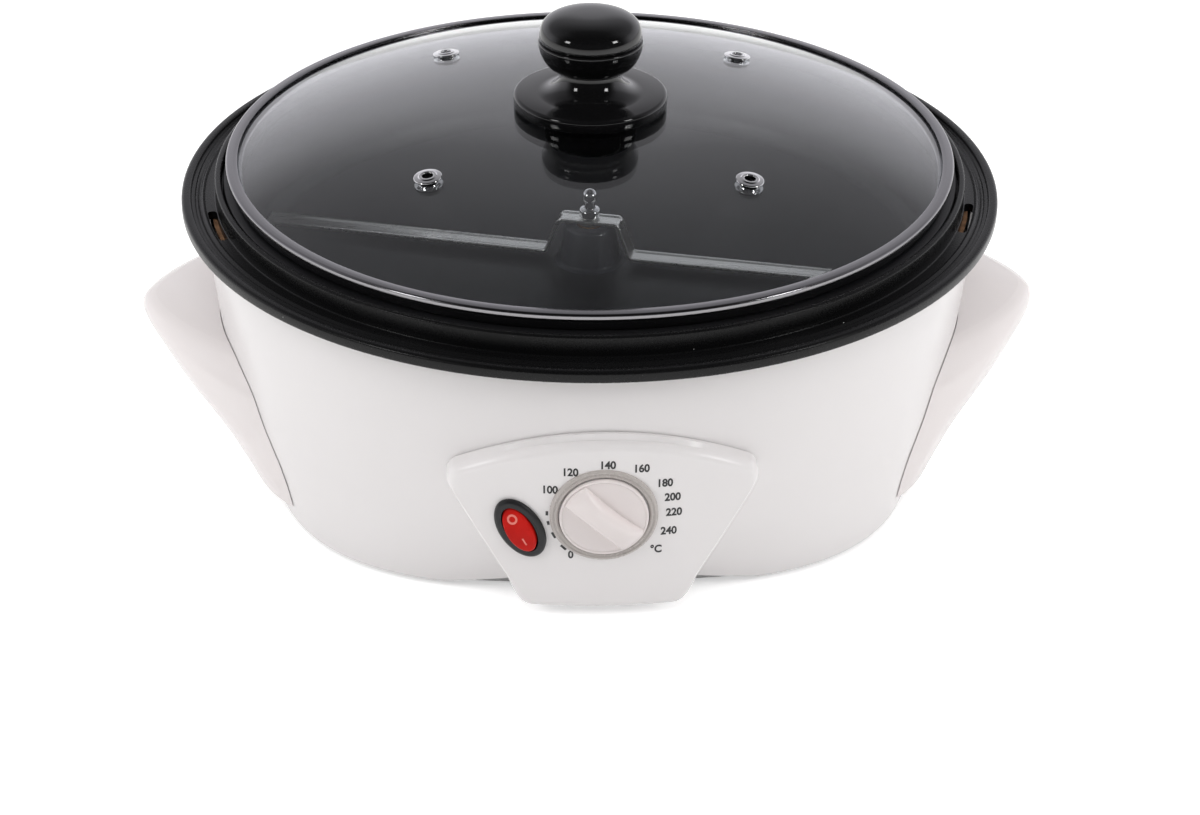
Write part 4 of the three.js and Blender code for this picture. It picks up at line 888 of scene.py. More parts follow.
# %% Geometry Nodes: copies round the axis
def copies_tree():
    tree = bpy.data.node_groups.new("copies round the axis", "GeometryNodeTree")
    face = tree.interface
    face.new_socket(name="Geometry", in_out="OUTPUT", socket_type="NodeSocketGeometry")
    for label, kind in (("Piece", "Object"), ("Count", "Int"), ("Orbit", "Float"), ("Height", "Float"),
                        ("First Angle", "Float"), ("Lean", "Float"), ("Material", "Material")):
        face.new_socket(name=label, in_out="INPUT", socket_type="NodeSocket" + kind)
    given = tree.nodes.new("NodeGroupInput").outputs
    index = tree.nodes.new("GeometryNodeInputIndex").outputs[0]
    step = add_math(tree, "DIVIDE", 2 * math.pi, given["Count"])
    angle = add_math(tree, "ADD", add_math(tree, "MULTIPLY", index, step), given["First Angle"])
    x, y = (add_math(tree, "MULTIPLY", add_math(tree, wave, angle), given["Orbit"])
            for wave in ("COSINE", "SINE"))
    spot = add_node(tree, "ShaderNodeCombineXYZ", X=x, Y=y, Z=given["Height"]).outputs[0]
    points = add_node(tree, "GeometryNodePoints", Count=given["Count"], Position=spot).outputs[0]
    turn = add_node(tree, "ShaderNodeCombineXYZ", Y=given["Lean"], Z=angle).outputs[0]
    source = add_node(tree, "GeometryNodeObjectInfo", Object=given["Piece"])
    source.transform_space = "ORIGINAL"
    copies = add_node(tree, "GeometryNodeInstanceOnPoints", Points=points,
                      Instance=source.outputs["Geometry"], Rotation=turn).outputs[0]
    real = add_node(tree, "GeometryNodeRealizeInstances", Geometry=copies).outputs[0]
    coat = add_node(tree, "GeometryNodeSetMaterial", Geometry=real, Material=given["Material"]).outputs[0]
    add_node(tree, "NodeGroupOutput", Geometry=coat)
    return tree


COPIES = copies_tree()


def copies_round(name, piece, material, **values):
    """Runs the tree on one piece and returns all copies as one plain mesh."""
    carrier = link(name, bpy.data.meshes.new(name))
    layout = carrier.modifiers.new("copies", "NODES")
    layout.node_group = COPIES
    values.update(Piece=piece, Material=material)
    for item in COPIES.interface.items_tree:
        if item.in_out == "INPUT":
            layout[item.identifier] = values[item.name.replace(" ", "_")]
    mesh = result_of(carrier)
    carrier.modifiers.clear()
    carrier.data = smooth(mesh)
    bpy.data.objects.remove(piece)
    print(name, "came out with", len(mesh.polygons), "faces")
    return carrier


# %% Vent grommets
GROMMET_RADIUS, GROMMET_BORE, GROMMET_FLANGE = 5.3, 2.1, 1.2
grommet_low = -LID_THICKNESS - CLEARANCE
grommet = turned("grommet", [
    (GROMMET_BORE, grommet_low - GROMMET_FLANGE, 0.4),
    (GROMMET_RADIUS, grommet_low - GROMMET_FLANGE, 0.6),
    (GROMMET_RADIUS, grommet_low, 0.3),
    (GROMMET_NECK, grommet_low, 0),
    (GROMMET_NECK, CLEARANCE, 0),
    (GROMMET_RADIUS, CLEARANCE, 0.2),
    (GROMMET_RADIUS, CLEARANCE + GROMMET_FLANGE * 0.6, 0.5),
    (GROMMET_BORE + 1.5, CLEARANCE + GROMMET_FLANGE * 0.7, 0.3),
    (GROMMET_BORE + 1.1, CLEARANCE + GROMMET_FLANGE, 0.3),
    (GROMMET_BORE, CLEARANCE + GROMMET_FLANGE, 0.4),
], SMALL_SIDES)
grommets = copies_round("vent_grommets", grommet, chrome, Count=GROMMET_COUNT, Orbit=GROMMET_ORBIT * MM,
                        Height=lid_top(GROMMET_ORBIT) * MM, First_Angle=GROMMET_FIRST, Lean=grommet_lean)
settle(grommets, "lid", "plated", chrome, *(f"vent_grommet_{turn + 1}" for turn in range(GROMMET_COUNT)))

# %% [markdown]
# ## The lid knob
#
# The knob has a flat disc on the glass, a waisted neck and a rounded head, closed with a domed cap. Below
# the glass a round seat takes the screw. All of it is polished black, so its light is all reflection, and
# its curves have to run smoothly.

# %% Knob
grip_low, grip_high = node_box("knob_grip")
CAP_TOP = node_box("knob_cap")[1].z
HEAD_RADIUS = 20
KNOB_DISC_RADIUS = grip_high.x
disc_top = grip_low.z + 5.1
SEAM_RISE = 1.2
seam = grip_high.z + SEAM_RISE
NECK_RADIUS, FLARE_RADIUS, NECK_LENGTH = 11.2, 20.5, 9.5
CAP_RADIUS, CAP_SQUARENESS, CAP_EASE = 19.6, 3.3, 0.9
CAP_START = math.radians(1)
neck_high = disc_top + NECK_LENGTH
CURVE_STEPS = 14
cap_low, cap_top = seam + CLEARANCE, CAP_TOP - CAP_EASE
cap_power = 2 / CAP_SQUARENESS
start_across, start_up = math.cos(CAP_START) ** cap_power, math.sin(CAP_START) ** cap_power
flare, bowl_curve, cap_curve = [], [], []
for angle, over in zip(fan(0, math.pi / 2, CURVE_STEPS)[:-1], fan(CAP_START, math.pi / 2, CURVE_STEPS)):
    flare.append((FLARE_RADIUS - (FLARE_RADIUS - NECK_RADIUS) * math.sin(angle),
                  disc_top + NECK_LENGTH * (1 - math.cos(angle)), 0))
    bowl_curve.append((NECK_RADIUS + (HEAD_RADIUS - NECK_RADIUS) * math.sin(angle),
                       neck_high + (seam - neck_high) * (1 - math.cos(angle)), 0))
    across = math.cos(over) ** cap_power / start_across
    up = (math.sin(over) ** cap_power - start_up) / (1 - start_up)
    cap_curve.append((CAP_RADIUS * across, cap_low + (cap_top - cap_low) * up, 0))
knob = turned("lid_knob", [
    (0, grip_low.z, 0),
    (KNOB_DISC_RADIUS, grip_low.z, 1.0),
    (KNOB_DISC_RADIUS, disc_top, 1.4),
    *flare,
    *bowl_curve,
    (HEAD_RADIUS, seam, 1.7),
    (0, seam, 0),
], KNOB_SIDES)
settle(knob, "lid", "gloss_black", gloss_black, "knob_grip")
cap_curve[0] = (*cap_curve[0][:2], 0.3)
cap = turned("lid_knob_cap", [(0, cap_low, 0), *cap_curve, (0, cap_top, 0)], KNOB_SIDES)
settle(cap, "lid", "gloss_black", gloss_black, "knob_cap")

seat_low, seat_high = node_box("knob_seat")
SEAT_WELL, SEAT_WELL_DEPTH = 6.3, 3.6
SCREW_BORE = 3.3
seat = turned("lid_knob_seat", [
    (SEAT_WELL, seat_low.z, 0.5),
    (seat_high.x, seat_low.z, 3.2),
    (seat_high.x, seat_high.z, 0.5),
    (SCREW_BORE, seat_high.z, 0),
    (SCREW_BORE, seat_low.z + SEAT_WELL_DEPTH, 0),
    (SEAT_WELL, seat_low.z + SEAT_WELL_DEPTH, 0.3),
], KNOB_SIDES)
settle(seat, "lid", "gloss_black", gloss_black, "knob_seat")

# %% [markdown]
# ## The side handles
#
# Each handle is a hollow ear moulded in one with a wide root. Its outline widens from the foot and turns
# back at the top. A few rows of sizes describe it, a smooth curve runs through them, and the body's own
# form trims its back.

# %% Handle rows
HANDLE_LOW, HANDLE_HIGH = (corner.z for corner in node_box("handle_right"))
HANDLE_OVERHANG = 31.7
HANDLE_HALF_WIDTH = 89.6
HANDLE_INNER = CREASE_RADIUS - 43
# Each row: height, overhang past the body and half width as shares of the handle's sizes, and squareness
HANDLE_ROW_SHARES = [
    (0, 0.267, 1, 2.13),
    (0.137, 0.313, 0.975, 2.05),
    (0.392, 0.426, 0.923, 1.95),
    (0.608, 0.688, 0.866, 1.88),
    (0.784, 0.867, 0.83, 1.8),
    (0.892, 1, 0.8, 1.6),
    (0.968, 0.954, 0.765, 1.5),
    (1, 0.864, 0.73, 1.5),
]
HANDLE_ROWS = 30
HANDLE_SIDES = 56
HANDLE_WALL = 2.5
# The ends are drawn in a little over the first and last share of the rows
HANDLE_TUCK, HANDLE_TUCK_SHARE = 1.6, 0.03


def through_rows(rows, share):
    """A row of sizes at any height share, on a smooth curve through the given rows."""
    last = len(rows) - 1
    here = max(index for index in range(last) if rows[index][0] <= share + 1e-9)
    low, high = rows[here], rows[here + 1]
    before, after = rows[max(here - 1, 0)], rows[min(here + 2, last)]
    span = high[0] - low[0]
    t = (share - low[0]) / span
    values = []
    for column in range(1, len(low)):
        first = (high[column] - before[column]) / (high[0] - before[0]) * span
        second = (after[column] - low[column]) / (after[0] - low[0]) * span
        values.append(
            (2 * t**3 - 3 * t**2 + 1) * low[column] + (t**3 - 2 * t**2 + t) * first
            + (3 * t**2 - 2 * t**3) * high[column] + (t**3 - t**2) * second
        )
    return values


# %% Handles
def handle_form(name, side, inset):
    """One ear as a closed form, drawn in by an inset for its hollow."""
    rings = []
    low, high = HANDLE_LOW + inset, HANDLE_HIGH - inset
    for row in range(HANDLE_ROWS + 1):
        share = 0.5 - 0.5 * math.cos(math.pi * row / HANDLE_ROWS)
        reach_share, width_share, squareness = through_rows(HANDLE_ROW_SHARES, share)
        height = low + (high - low) * share
        tuck = inset + HANDLE_TUCK * max(0.0, 1 - min(share, 1 - share) / HANDLE_TUCK_SHARE) ** 2
        reach = body_radius(0, height) + HANDLE_OVERHANG * reach_share - HANDLE_INNER - tuck
        half = HANDLE_HALF_WIDTH * width_share - tuck
        ring = []
        for step in range(HANDLE_SIDES + 1):
            angle = math.pi * step / HANDLE_SIDES - math.pi / 2
            across = math.copysign(abs(math.sin(angle)) ** (2 / squareness), angle)
            out = max(0.0, math.cos(angle)) ** (2 / squareness)
            ring.append((side * (HANDLE_INNER - inset + (reach + inset) * out), side * half * across, height))
        rings.append(ring)
    return loft(name, rings)


def handle(name, side):
    """One ear, hollowed out and trimmed to the body."""
    hollow = handle_form("handle hollow", side, HANDLE_WALL)
    ear = cut(handle_form(name, side, 0), [hollow, body_form()])
    settle(ear, "base", "white_plastic", handle_plastic, name.replace("_ear", ""))


handle("handle_right_ear", 1)
handle("handle_left_ear", -1)

# %% [markdown]
# ## The control panel
#
# The panel is a shallow shield that bows out from the body. Its face is part of a large cylinder, its top
# edge is arched and its sides slant in to a narrow foot. Upright slices side by side describe it well:
# each slice knows its own top, foot and face, and the round between them.

# %% Panel values
PANEL_FACE = SHELL_TOP_RADIUS + 1.4
PANEL_HEIGHT = 45.8
PANEL_TILT = math.radians(3)
PANEL_CURVE = 195
PANEL_HALF = 55
PANEL_TOP, PANEL_TOP_FALL = 29.2, 15.5
PANEL_REAR_TOP, PANEL_REAR_FALL = 31.6, 18.3
PANEL_SHOULDER = 7.2
PANEL_CORNER = 4
PANEL_FOOT_FLAT, PANEL_FOOT_HALF, PANEL_FOOT_RISE = 24, 33.2, 10
PANEL_BOTTOM = -41.8
PANEL_EDGE = 3.5
PANEL_WALL = 2.2
PANEL_DEPTH = 34
PANEL_SLICES = 40
PANEL_ROUND_STEPS = 8
PANEL_THINNEST = 0.8
EDGE_MAX_SHARE = 0.4
panel_matrix = Matrix.Translation((0, -PANEL_FACE, PANEL_HEIGHT)) @ Matrix.Rotation(
    math.pi / 2 + PANEL_TILT, 4, "X")


def panel_fall(x):
    """How far the curved face falls back beside its middle."""
    return PANEL_CURVE - math.sqrt(PANEL_CURVE**2 - x**2)


def round_drop(radius, left):
    """How far a round of this radius draws back at this distance before its end."""
    past = min(max(radius - left, 0.0), radius)
    return radius - math.sqrt(radius**2 - past**2)


def panel_low_edge(across):
    if across < PANEL_FOOT_FLAT:
        return PANEL_BOTTOM
    if across < PANEL_FOOT_HALF:
        share = (across - PANEL_FOOT_FLAT) / (PANEL_FOOT_HALF - PANEL_FOOT_FLAT)
        return PANEL_BOTTOM + PANEL_FOOT_RISE * share**3
    share = (across - PANEL_FOOT_HALF) / (PANEL_HALF - PANEL_FOOT_HALF)
    foot = PANEL_BOTTOM + PANEL_FOOT_RISE
    return foot + (PANEL_SHOULDER - foot) * share


# %% Panel slices
def panel_slice(x, inset):
    across = abs(x)
    left = PANEL_HALF - inset - across
    edge = PANEL_EDGE - inset / 2
    front = -inset - panel_fall(x) - round_drop(edge, left)
    drop = inset + round_drop(PANEL_CORNER, left)
    spread = (x / PANEL_HALF) ** 2
    top = PANEL_TOP - PANEL_TOP_FALL * spread - drop
    rear_top = PANEL_REAR_TOP - PANEL_REAR_FALL * spread - drop
    wall = body_radius(-math.pi / 2, PANEL_HEIGHT + PANEL_TOP)
    rear = math.sqrt(wall**2 - x**2) - PANEL_FACE
    low = panel_low_edge(across + inset) + inset
    top = max(top, low + PANEL_THINNEST)
    rear_top = max(rear_top, top)
    radius = min(edge, (top - low) * EDGE_MAX_SHARE)
    points = [(low, -PANEL_DEPTH), (rear_top, -PANEL_DEPTH), (rear_top, rear)]
    arc = fan(0, math.pi / 2, PANEL_ROUND_STEPS)
    for angle in arc:
        points.append((top - radius + radius * math.cos(angle), front - radius + radius * math.sin(angle)))
    for angle in arc:
        points.append((low + radius - radius * math.sin(angle), front - radius + radius * math.cos(angle)))
    return [(x, y, z) for y, z in points]


def panel_solid(name, inset):
    slices = []
    for step in range(-PANEL_SLICES, PANEL_SLICES + 1):
        x = (PANEL_HALF - inset) * math.sin(math.pi / 2 * step / PANEL_SLICES)
        slices.append(panel_slice(x, inset))
    return placed(loft(name, slices), panel_matrix)


# %% [markdown]
# The switch sits square to the curved face and leans with the panel's side. Its frame is the panel's frame
# moved along the face, turned by the face's own angle there, and then turned about its own axis.

# %% Panel and switch opening
SWITCH_X, SWITCH_Y = -29.3, -6.2
SWITCH_LEAN = math.radians(28)
FLANGE_HALF_X, FLANGE_HALF_Y, FLANGE_HEIGHT = 8, 12.8, 2
NECK_HALF_X, NECK_HALF_Y = FLANGE_HALF_X - 1, FLANGE_HALF_Y - 1
SPINDLE_RADIUS = 3
PANEL_CUT = (-8, 4)
switch_matrix = (
    panel_matrix
    @ Matrix.Translation((SWITCH_X, SWITCH_Y, -panel_fall(SWITCH_X)))
    @ Matrix.Rotation(math.asin(SWITCH_X / PANEL_CURVE), 4, "Y")
    @ Matrix.Rotation(SWITCH_LEAN, 4, "Z")
)
neck = oval(NECK_HALF_X + CLEARANCE, NECK_HALF_Y + CLEARANCE)
neck_hole = placed(prism("neck hole", neck, *PANEL_CUT), switch_matrix)
spindle_hole = pin("spindle hole", SPINDLE_RADIUS + CLEARANCE, *PANEL_CUT, panel_matrix, SMALL_SIDES)
hollow = panel_solid("panel hollow", PANEL_WALL)
panel = cut(panel_solid("control_panel_shield", 0), [hollow, body_form(), neck_hole, spindle_hole])
settle(panel, "base", "white_plastic", white_plastic, "control_panel")

# %% Dial surround
SURROUND_OUTER, SURROUND_INNER, SURROUND_HEIGHT = 19.1, 16.1, 1.1
# The surround's darker colour is painted shade, for the shade round the dial; the moulding itself is white.
surround = turned("dial_surround", [
    (SURROUND_INNER, -0.9, 0),
    (SURROUND_OUTER, -1.6, 0),
    (SURROUND_OUTER, 0.5, 0.4),
    (SURROUND_OUTER - 0.9, SURROUND_HEIGHT, 0.5),
    (SURROUND_OUTER - 1.6, SURROUND_HEIGHT - 0.5, 0.3),
    (SURROUND_INNER + 0.8, SURROUND_HEIGHT, 0.4),
    (SURROUND_INNER, SURROUND_HEIGHT - 0.4, 0.4),
], KNOB_SIDES)
settle(placed(surround, panel_matrix), "base", "white_plastic", surround_painted_shade)

# %% [markdown]
# ## The dial
#
# The dial is a thin disc with a fine raised rim and a broad finger grip across it. The grip's sides curve
# inwards, so that finger and thumb find them, and its back is an arc that falls to the disc's edge. The
# disc is turned. The grip is a row of rounded cross sections, trimmed to the disc's circle.

# %% Temperature dial
DIAL_RADIUS, DIAL_HEIGHT, DIAL_RIM = 15.7, 1.7, 0.4
GRIP_HALF_END, GRIP_HALF_WAIST = 5.7, 4.5
GRIP_LOW, GRIP_TOP, GRIP_REACH = 1.0, 7.4, 15.0
GRIP_SQUARENESS = 3.4
GRIP_END_SHARE = 0.975
DIAL_TURN = math.radians(47)
GRIP_STEPS, GRIP_SIDES = 16, 20
TRIM_RADIUS, TRIM_HEIGHT = DIAL_RADIUS - 0.9, 20
disc = turned("dial_disc", [
    (0, CLEARANCE, 0),
    (DIAL_RADIUS, CLEARANCE, 0.2),
    (DIAL_RADIUS, DIAL_HEIGHT + DIAL_RIM, 0.4),
    (DIAL_RADIUS - 0.7, DIAL_HEIGHT + DIAL_RIM, 0.3),
    (DIAL_RADIUS - 1.1, DIAL_HEIGHT, 0.3),
    (0, DIAL_HEIGHT, 0),
], KNOB_SIDES)
grip_rows = []
for step in range(-GRIP_STEPS, GRIP_STEPS + 1):
    share = math.sin(math.pi / 2 * step / GRIP_STEPS)
    half = GRIP_HALF_WAIST + (GRIP_HALF_END - GRIP_HALF_WAIST) * share**2
    rise = (GRIP_TOP - GRIP_LOW) * math.sqrt(1 - (GRIP_END_SHARE * share) ** 2)
    row = []
    for side in range(GRIP_SIDES + 1):
        angle = math.pi * side / GRIP_SIDES
        across = math.copysign(abs(math.cos(angle)) ** (2 / GRIP_SQUARENESS), math.cos(angle))
        up = abs(math.sin(angle)) ** (2 / GRIP_SQUARENESS)
        row.append((half * across, GRIP_REACH * share, GRIP_LOW + rise * up))
    grip_rows.append(row)
grip = loft("dial grip", grip_rows)
trim = prism("dial trim", oval(TRIM_RADIUS, TRIM_RADIUS), 0, TRIM_HEIGHT)
dial = joined("temperature_dial_cap", [disc, cut(grip, [trim], "INTERSECT")])
placed(dial, panel_matrix @ Matrix.Rotation(DIAL_TURN, 4, "Z"))
settle(dial, "dial", "white_plastic", dial_plastic, "temperature_dial")

# %% [markdown]
# ## The printed scale
#
# Numbers in degrees run round the dial, with four short dashes below the hundred and a nought at the end
# stop. Each label is a text curve turned into a thin mesh and laid on the curved face.

# %% Scale
LABEL_SIZE = 4.4
LABEL_WIDTH_SHARE = 0.87
LABEL_RAISE = 0.03
LABEL_DEPTH = 0.05
LABEL_BOLD = 0.14
# Each label: text, then its middle across and up from the dial's centre
LABELS = [
    ("100", -19.0, 10.3), ("120", -11.9, 17.9), ("140", 1.1, 20.9), ("160", 12.9, 19.1),
    ("180", 21.2, 12.4), ("200", 24.1, 6.2), ("220", 24.7, -0.3), ("240", 23.0, -8.2),
    ("°C", 18.6, -15.8), ("0", -11.6, -17.4),
]
DASHES = [(-89, 20.0, 0.9), (-101, 19.9, 0.8), (-117, 19.8, 1.3), (-135, 20.1, 1.3)]
DASH_WIDTH = 0.9


def on_face(x, y, turn=0.0):
    """A frame on the panel's curved face, with its z axis square to the face."""
    return (
        panel_matrix
        @ Matrix.Translation((x, y, LABEL_RAISE - panel_fall(x)))
        @ Matrix.Rotation(math.asin(x / PANEL_CURVE), 4, "Y")
        @ Matrix.Rotation(turn, 4, "Z")
    )


def label(text, x, y):
    curve = bpy.data.curves.new("label", "FONT")
    curve.body = text
    curve.size = LABEL_SIZE * MM
    curve.align_x = "CENTER"
    curve.align_y = "CENTER"
    curve.extrude = LABEL_DEPTH * MM
    curve.offset = LABEL_BOLD * MM
    writer = link("label", curve)
    mesh = result_of(writer)
    bpy.data.objects.remove(writer)
    narrow = Matrix.Diagonal((LABEL_WIDTH_SHARE, 1, 1, 1))
    return placed(link("label mesh", mesh), on_face(x, y) @ narrow)


def dash(degrees, radius, length):
    angle = math.radians(degrees)
    x, y = radius * math.sin(angle), radius * math.cos(angle)
    bar = prism("dash", box_outline(-DASH_WIDTH / 2, DASH_WIDTH / 2, -length, length), 0, LABEL_DEPTH)
    return placed(bar, on_face(x, y, -angle + math.pi / 2))


scale = joined("dial_scale", [label(*row) for row in LABELS] + [dash(*row) for row in DASHES])
settle(scale, "base", "black_plastic", print_ink)

# %% [markdown]
# ## The rocker switch
#
# An oval black bezel holds a clear red rocker with a crowned face. A ring marks off and a bar marks on, as
# on any such switch.

# %% Switch bezel
ROCKER_HALF_X, ROCKER_HALF_Y = 4.8, 9.4
ROCKER_PLAY = 0.5
ROCKER_LOW, ROCKER_HIGH, ROCKER_CROWN = -3, 3.6, 1.4
ROCKER_TILT = math.radians(-7)
NECK_DEPTH = 6
BEZEL_ROUND_STEPS = 6


def oval_ring(half_x, half_y, inset, level):
    return [(x, y, level) for x, y in oval(half_x - inset, half_y - inset)]


rings = [oval_ring(NECK_HALF_X, NECK_HALF_Y, 0, -NECK_DEPTH),
         oval_ring(NECK_HALF_X, NECK_HALF_Y, 0, CLEARANCE),
         oval_ring(FLANGE_HALF_X, FLANGE_HALF_Y, 0, CLEARANCE)]
EDGE_X, EDGE_Z = 1.5, 1.3
for angle in fan(0, math.pi / 2, BEZEL_ROUND_STEPS):
    rings.append(oval_ring(FLANGE_HALF_X, FLANGE_HALF_Y, EDGE_X * (1 - math.cos(angle)),
                           FLANGE_HEIGHT - EDGE_Z * (1 - math.sin(angle))))
bezel = loft("switch_bezel", rings)
opening = oval(ROCKER_HALF_X + ROCKER_PLAY, ROCKER_HALF_Y + ROCKER_PLAY)
bezel = cut(bezel, [prism("rocker opening", opening, -NECK_DEPTH - 2, FLANGE_HEIGHT + 2)])
settle(placed(bezel, switch_matrix), "base", "gloss_black", bezel_plastic, "switch_frame")

# %% Rocker
ROCKER_EDGE = 0.8
ROCKER_EDGE_STEPS = 6
CROWN_SHARES = (0.75, 0.5, 0.25, 0.03)
crown_radius = (ROCKER_HALF_Y**2 + ROCKER_CROWN**2) / (2 * ROCKER_CROWN)


def crown_height(y):
    return ROCKER_HIGH - crown_radius + math.sqrt(crown_radius**2 - y**2)


rocker_rings = [oval_ring(ROCKER_HALF_X, ROCKER_HALF_Y, 0, ROCKER_LOW)]
for angle in fan(0, math.pi / 2, ROCKER_EDGE_STEPS):
    inset = ROCKER_EDGE * (1 - math.cos(angle))
    drop = ROCKER_EDGE * (1 - math.sin(angle))
    ring = oval(ROCKER_HALF_X - inset, ROCKER_HALF_Y - inset)
    rocker_rings.append([(x, y, crown_height(y) - drop) for x, y in ring])
for share in CROWN_SHARES:
    ring = oval(ROCKER_HALF_X - ROCKER_EDGE, ROCKER_HALF_Y - ROCKER_EDGE)
    rocker_rings.append([(x * share, y * share, crown_height(y * share)) for x, y in ring])
rocker_matrix = switch_matrix @ Matrix.Rotation(ROCKER_TILT, 4, "X")
rocker = placed(loft("rocker_button", rocker_rings), rocker_matrix)
settle(rocker, "rocker", "red_plastic", red_plastic, "switch_rocker")

# %% Rocker marks
MARK_LOW, MARK_HIGH = -0.4, 0.06
RING_MARK_Y, RING_MARK_OUTER, RING_MARK_INNER = 5.0, 1.9, 1.15
BAR_MARK_Y, BAR_MARK_HALF, BAR_MARK_WIDTH = -4.6, 1.5, 0.55


def mark_matrix(y):
    slope = math.asin(y / crown_radius)
    return rocker_matrix @ Matrix.Translation((0, y, crown_height(y))) @ Matrix.Rotation(-slope, 4, "X")


ring_mark = turned("ring mark", [
    (radius, level, 0) for radius, level in box_outline(RING_MARK_INNER, RING_MARK_OUTER, MARK_LOW, MARK_HIGH)
], SMALL_SIDES)
bar = box_outline(-BAR_MARK_WIDTH / 2, BAR_MARK_WIDTH / 2, -BAR_MARK_HALF, BAR_MARK_HALF)
bar_mark = prism("bar mark", bar, MARK_LOW, MARK_HIGH)
marks = joined("rocker_marks", [placed(ring_mark, mark_matrix(RING_MARK_Y)),
                                placed(bar_mark, mark_matrix(BAR_MARK_Y))])
settle(marks, "rocker", "red_plastic", red_mark)

# %% [markdown]
# ## Underneath
#
# Four rubber feet carry the roaster and four screws hold the tray. They are laid out with the same tree as
# the grommets, on the diagonals of the body.

# %% Feet and tray screws
CORNERS = 4


def at_corners(name, piece, node, slot, material, height):
    """Copies of a piece on the body's diagonals, as far out as the frame's own nodes stand."""
    low, high = node_box(f"{node}_1")
    copies = copies_round(name, piece, material, Count=CORNERS, Orbit=((low + high) / 2).xy.length * MM,
                          Height=height * MM, First_Angle=math.pi / CORNERS, Lean=0.0)
    settle(copies, "base", slot, material, *(f"{node}_{corner + 1}" for corner in range(CORNERS)))


foot_low, foot_high = node_box("foot_1")
FOOT_RADIUS = (foot_high.x - foot_low.x) / 2
FOOT_NECK, FOOT_HEAD = 2.7, 4
foot_shoulder = SHELL_LOW - CLEARANCE
foot = turned("foot", [
    (0, 0, 0),
    (FOOT_RADIUS - 0.5, 0, 0.3),
    (FOOT_RADIUS, foot_shoulder, 0.4),
    (FOOT_NECK, foot_shoulder, 0.2),
    (FOOT_NECK, foot_high.z - 1.4, 0),
    (FOOT_HEAD, foot_high.z - 1.4, 0.2),
    (FOOT_NECK, foot_high.z, 0.3),
    (0, foot_high.z, 0),
], SMALL_SIDES)
at_corners("rubber_feet", foot, "foot", "rubber", rubber, 0.0)

screw_low, screw_high = node_box("tray_screw_1")
screw_length = screw_high.z - screw_low.z
SCREW_HEAD, SCREW_SHANK, HEAD_DEPTH = 3.4, 1.5, 1.4
screw = turned("screw", [
    (0, 0.5, 0),
    (0.6, 0.5, 0),
    (1.0, 0, 0.1),
    (SCREW_HEAD, 0, 0.6),
    (SCREW_HEAD, HEAD_DEPTH, 0.2),
    (SCREW_SHANK, HEAD_DEPTH, 0.2),
    (SCREW_SHANK, screw_length - 1.5, 0),
    (0, screw_length, 0),
], SMALL_SIDES)
at_corners("tray_screws", screw, "tray_screw", "steel", screw_steel, screw_low.z)

# %% [markdown]
# ## What stays from the frame
#
# The inner parts keep their own meshes: heater, motor, shield, brackets, screws. They only need finishes.
# A heater's sheath is dark from heat, and the shield is dull sheet.

# %% Finishes for the frame's own nodes
heater_sheath = surface("heat-darkened sheath", (0.16, 0.145, 0.13), (0.09, 0.08, 0.075), tone_scale=60.0,
                        rough=(0.4, 0.6), grain_scale=1200.0, bump=0.08, Metallic=1.0)
kept = {
    "base_tray": tray_sheet, "fibre_gasket": fibre, "heat_shield": sheet_metal, "shaft_bush": bronze,
    "ring_heater": heater_sheath, "gearbox": sheet_metal, "motor": sheet_metal, "thermal_fuse": insulator,
    "terminal_block": insulator, "thermostat": insulator, "thermostat_spindle": screw_steel,
    "switch_body": black_plastic, "drive_shaft": screw_steel, "knob_screw": screw_steel,
}
for prefix, count, material in (("heater_bracket", 3, sheet_metal), ("motor_screw", 2, screw_steel),
                                ("handle_screw", 4, screw_steel)):
    for index in range(count):
        kept[f"{prefix}_{index + 1}"] = material
for name, material in kept.items():
    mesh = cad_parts[name].data
    if not mesh.materials:
        mesh.materials.append(material)
    for slot in range(len(mesh.materials)):
        mesh.materials[slot] = material
print("frame nodes with new finishes:", len(kept))

# %% [markdown]
# ## Studio
#
# The object stands on a white floor in front of a white backdrop. The camera sees both as white, and so
# do reflections near the horizon. Higher up the studio is dim, which is why the front of the glass and
# the black ring stay dark. Two small softboxes make the paired highlights on the knob. The larger lamps
# light surfaces only: neither reflections nor the glass show them.


# %% World
# The light that comes from in front is cut to this share, over this stretch of the direction's y
FRONT_SHARE, FRONT_END, BACK_START = 0.06, -0.35, 0.25
FILL_STRENGTH = 0.35
# Brightness from the horizon to straight overhead, and its tint
SKY = [(0.0, 1.1), (0.2, 1.05), (0.36, 0.85), (0.49, 0.46), (0.63, 0.38), (0.84, 0.2), (0.93, 0.07),
       (1.0, 0.04)]
SKY_TINT = (0.985, 0.975, 1.03)


def ray_masks(tree):
    """A mask for rays straight from the camera, and one for what is mirrored or seen through glass."""
    path = tree.nodes.new("ShaderNodeLightPath").outputs
    mirrored = add_math(tree, "MAXIMUM", path["Is Glossy Ray"], path["Is Transmission Ray"])
    return path["Is Camera Ray"], mirrored


def backdrop(tree, colour, strength=1.0):
    return add_node(tree, "ShaderNodeBackground", Color=colour, Strength=strength).outputs[0]


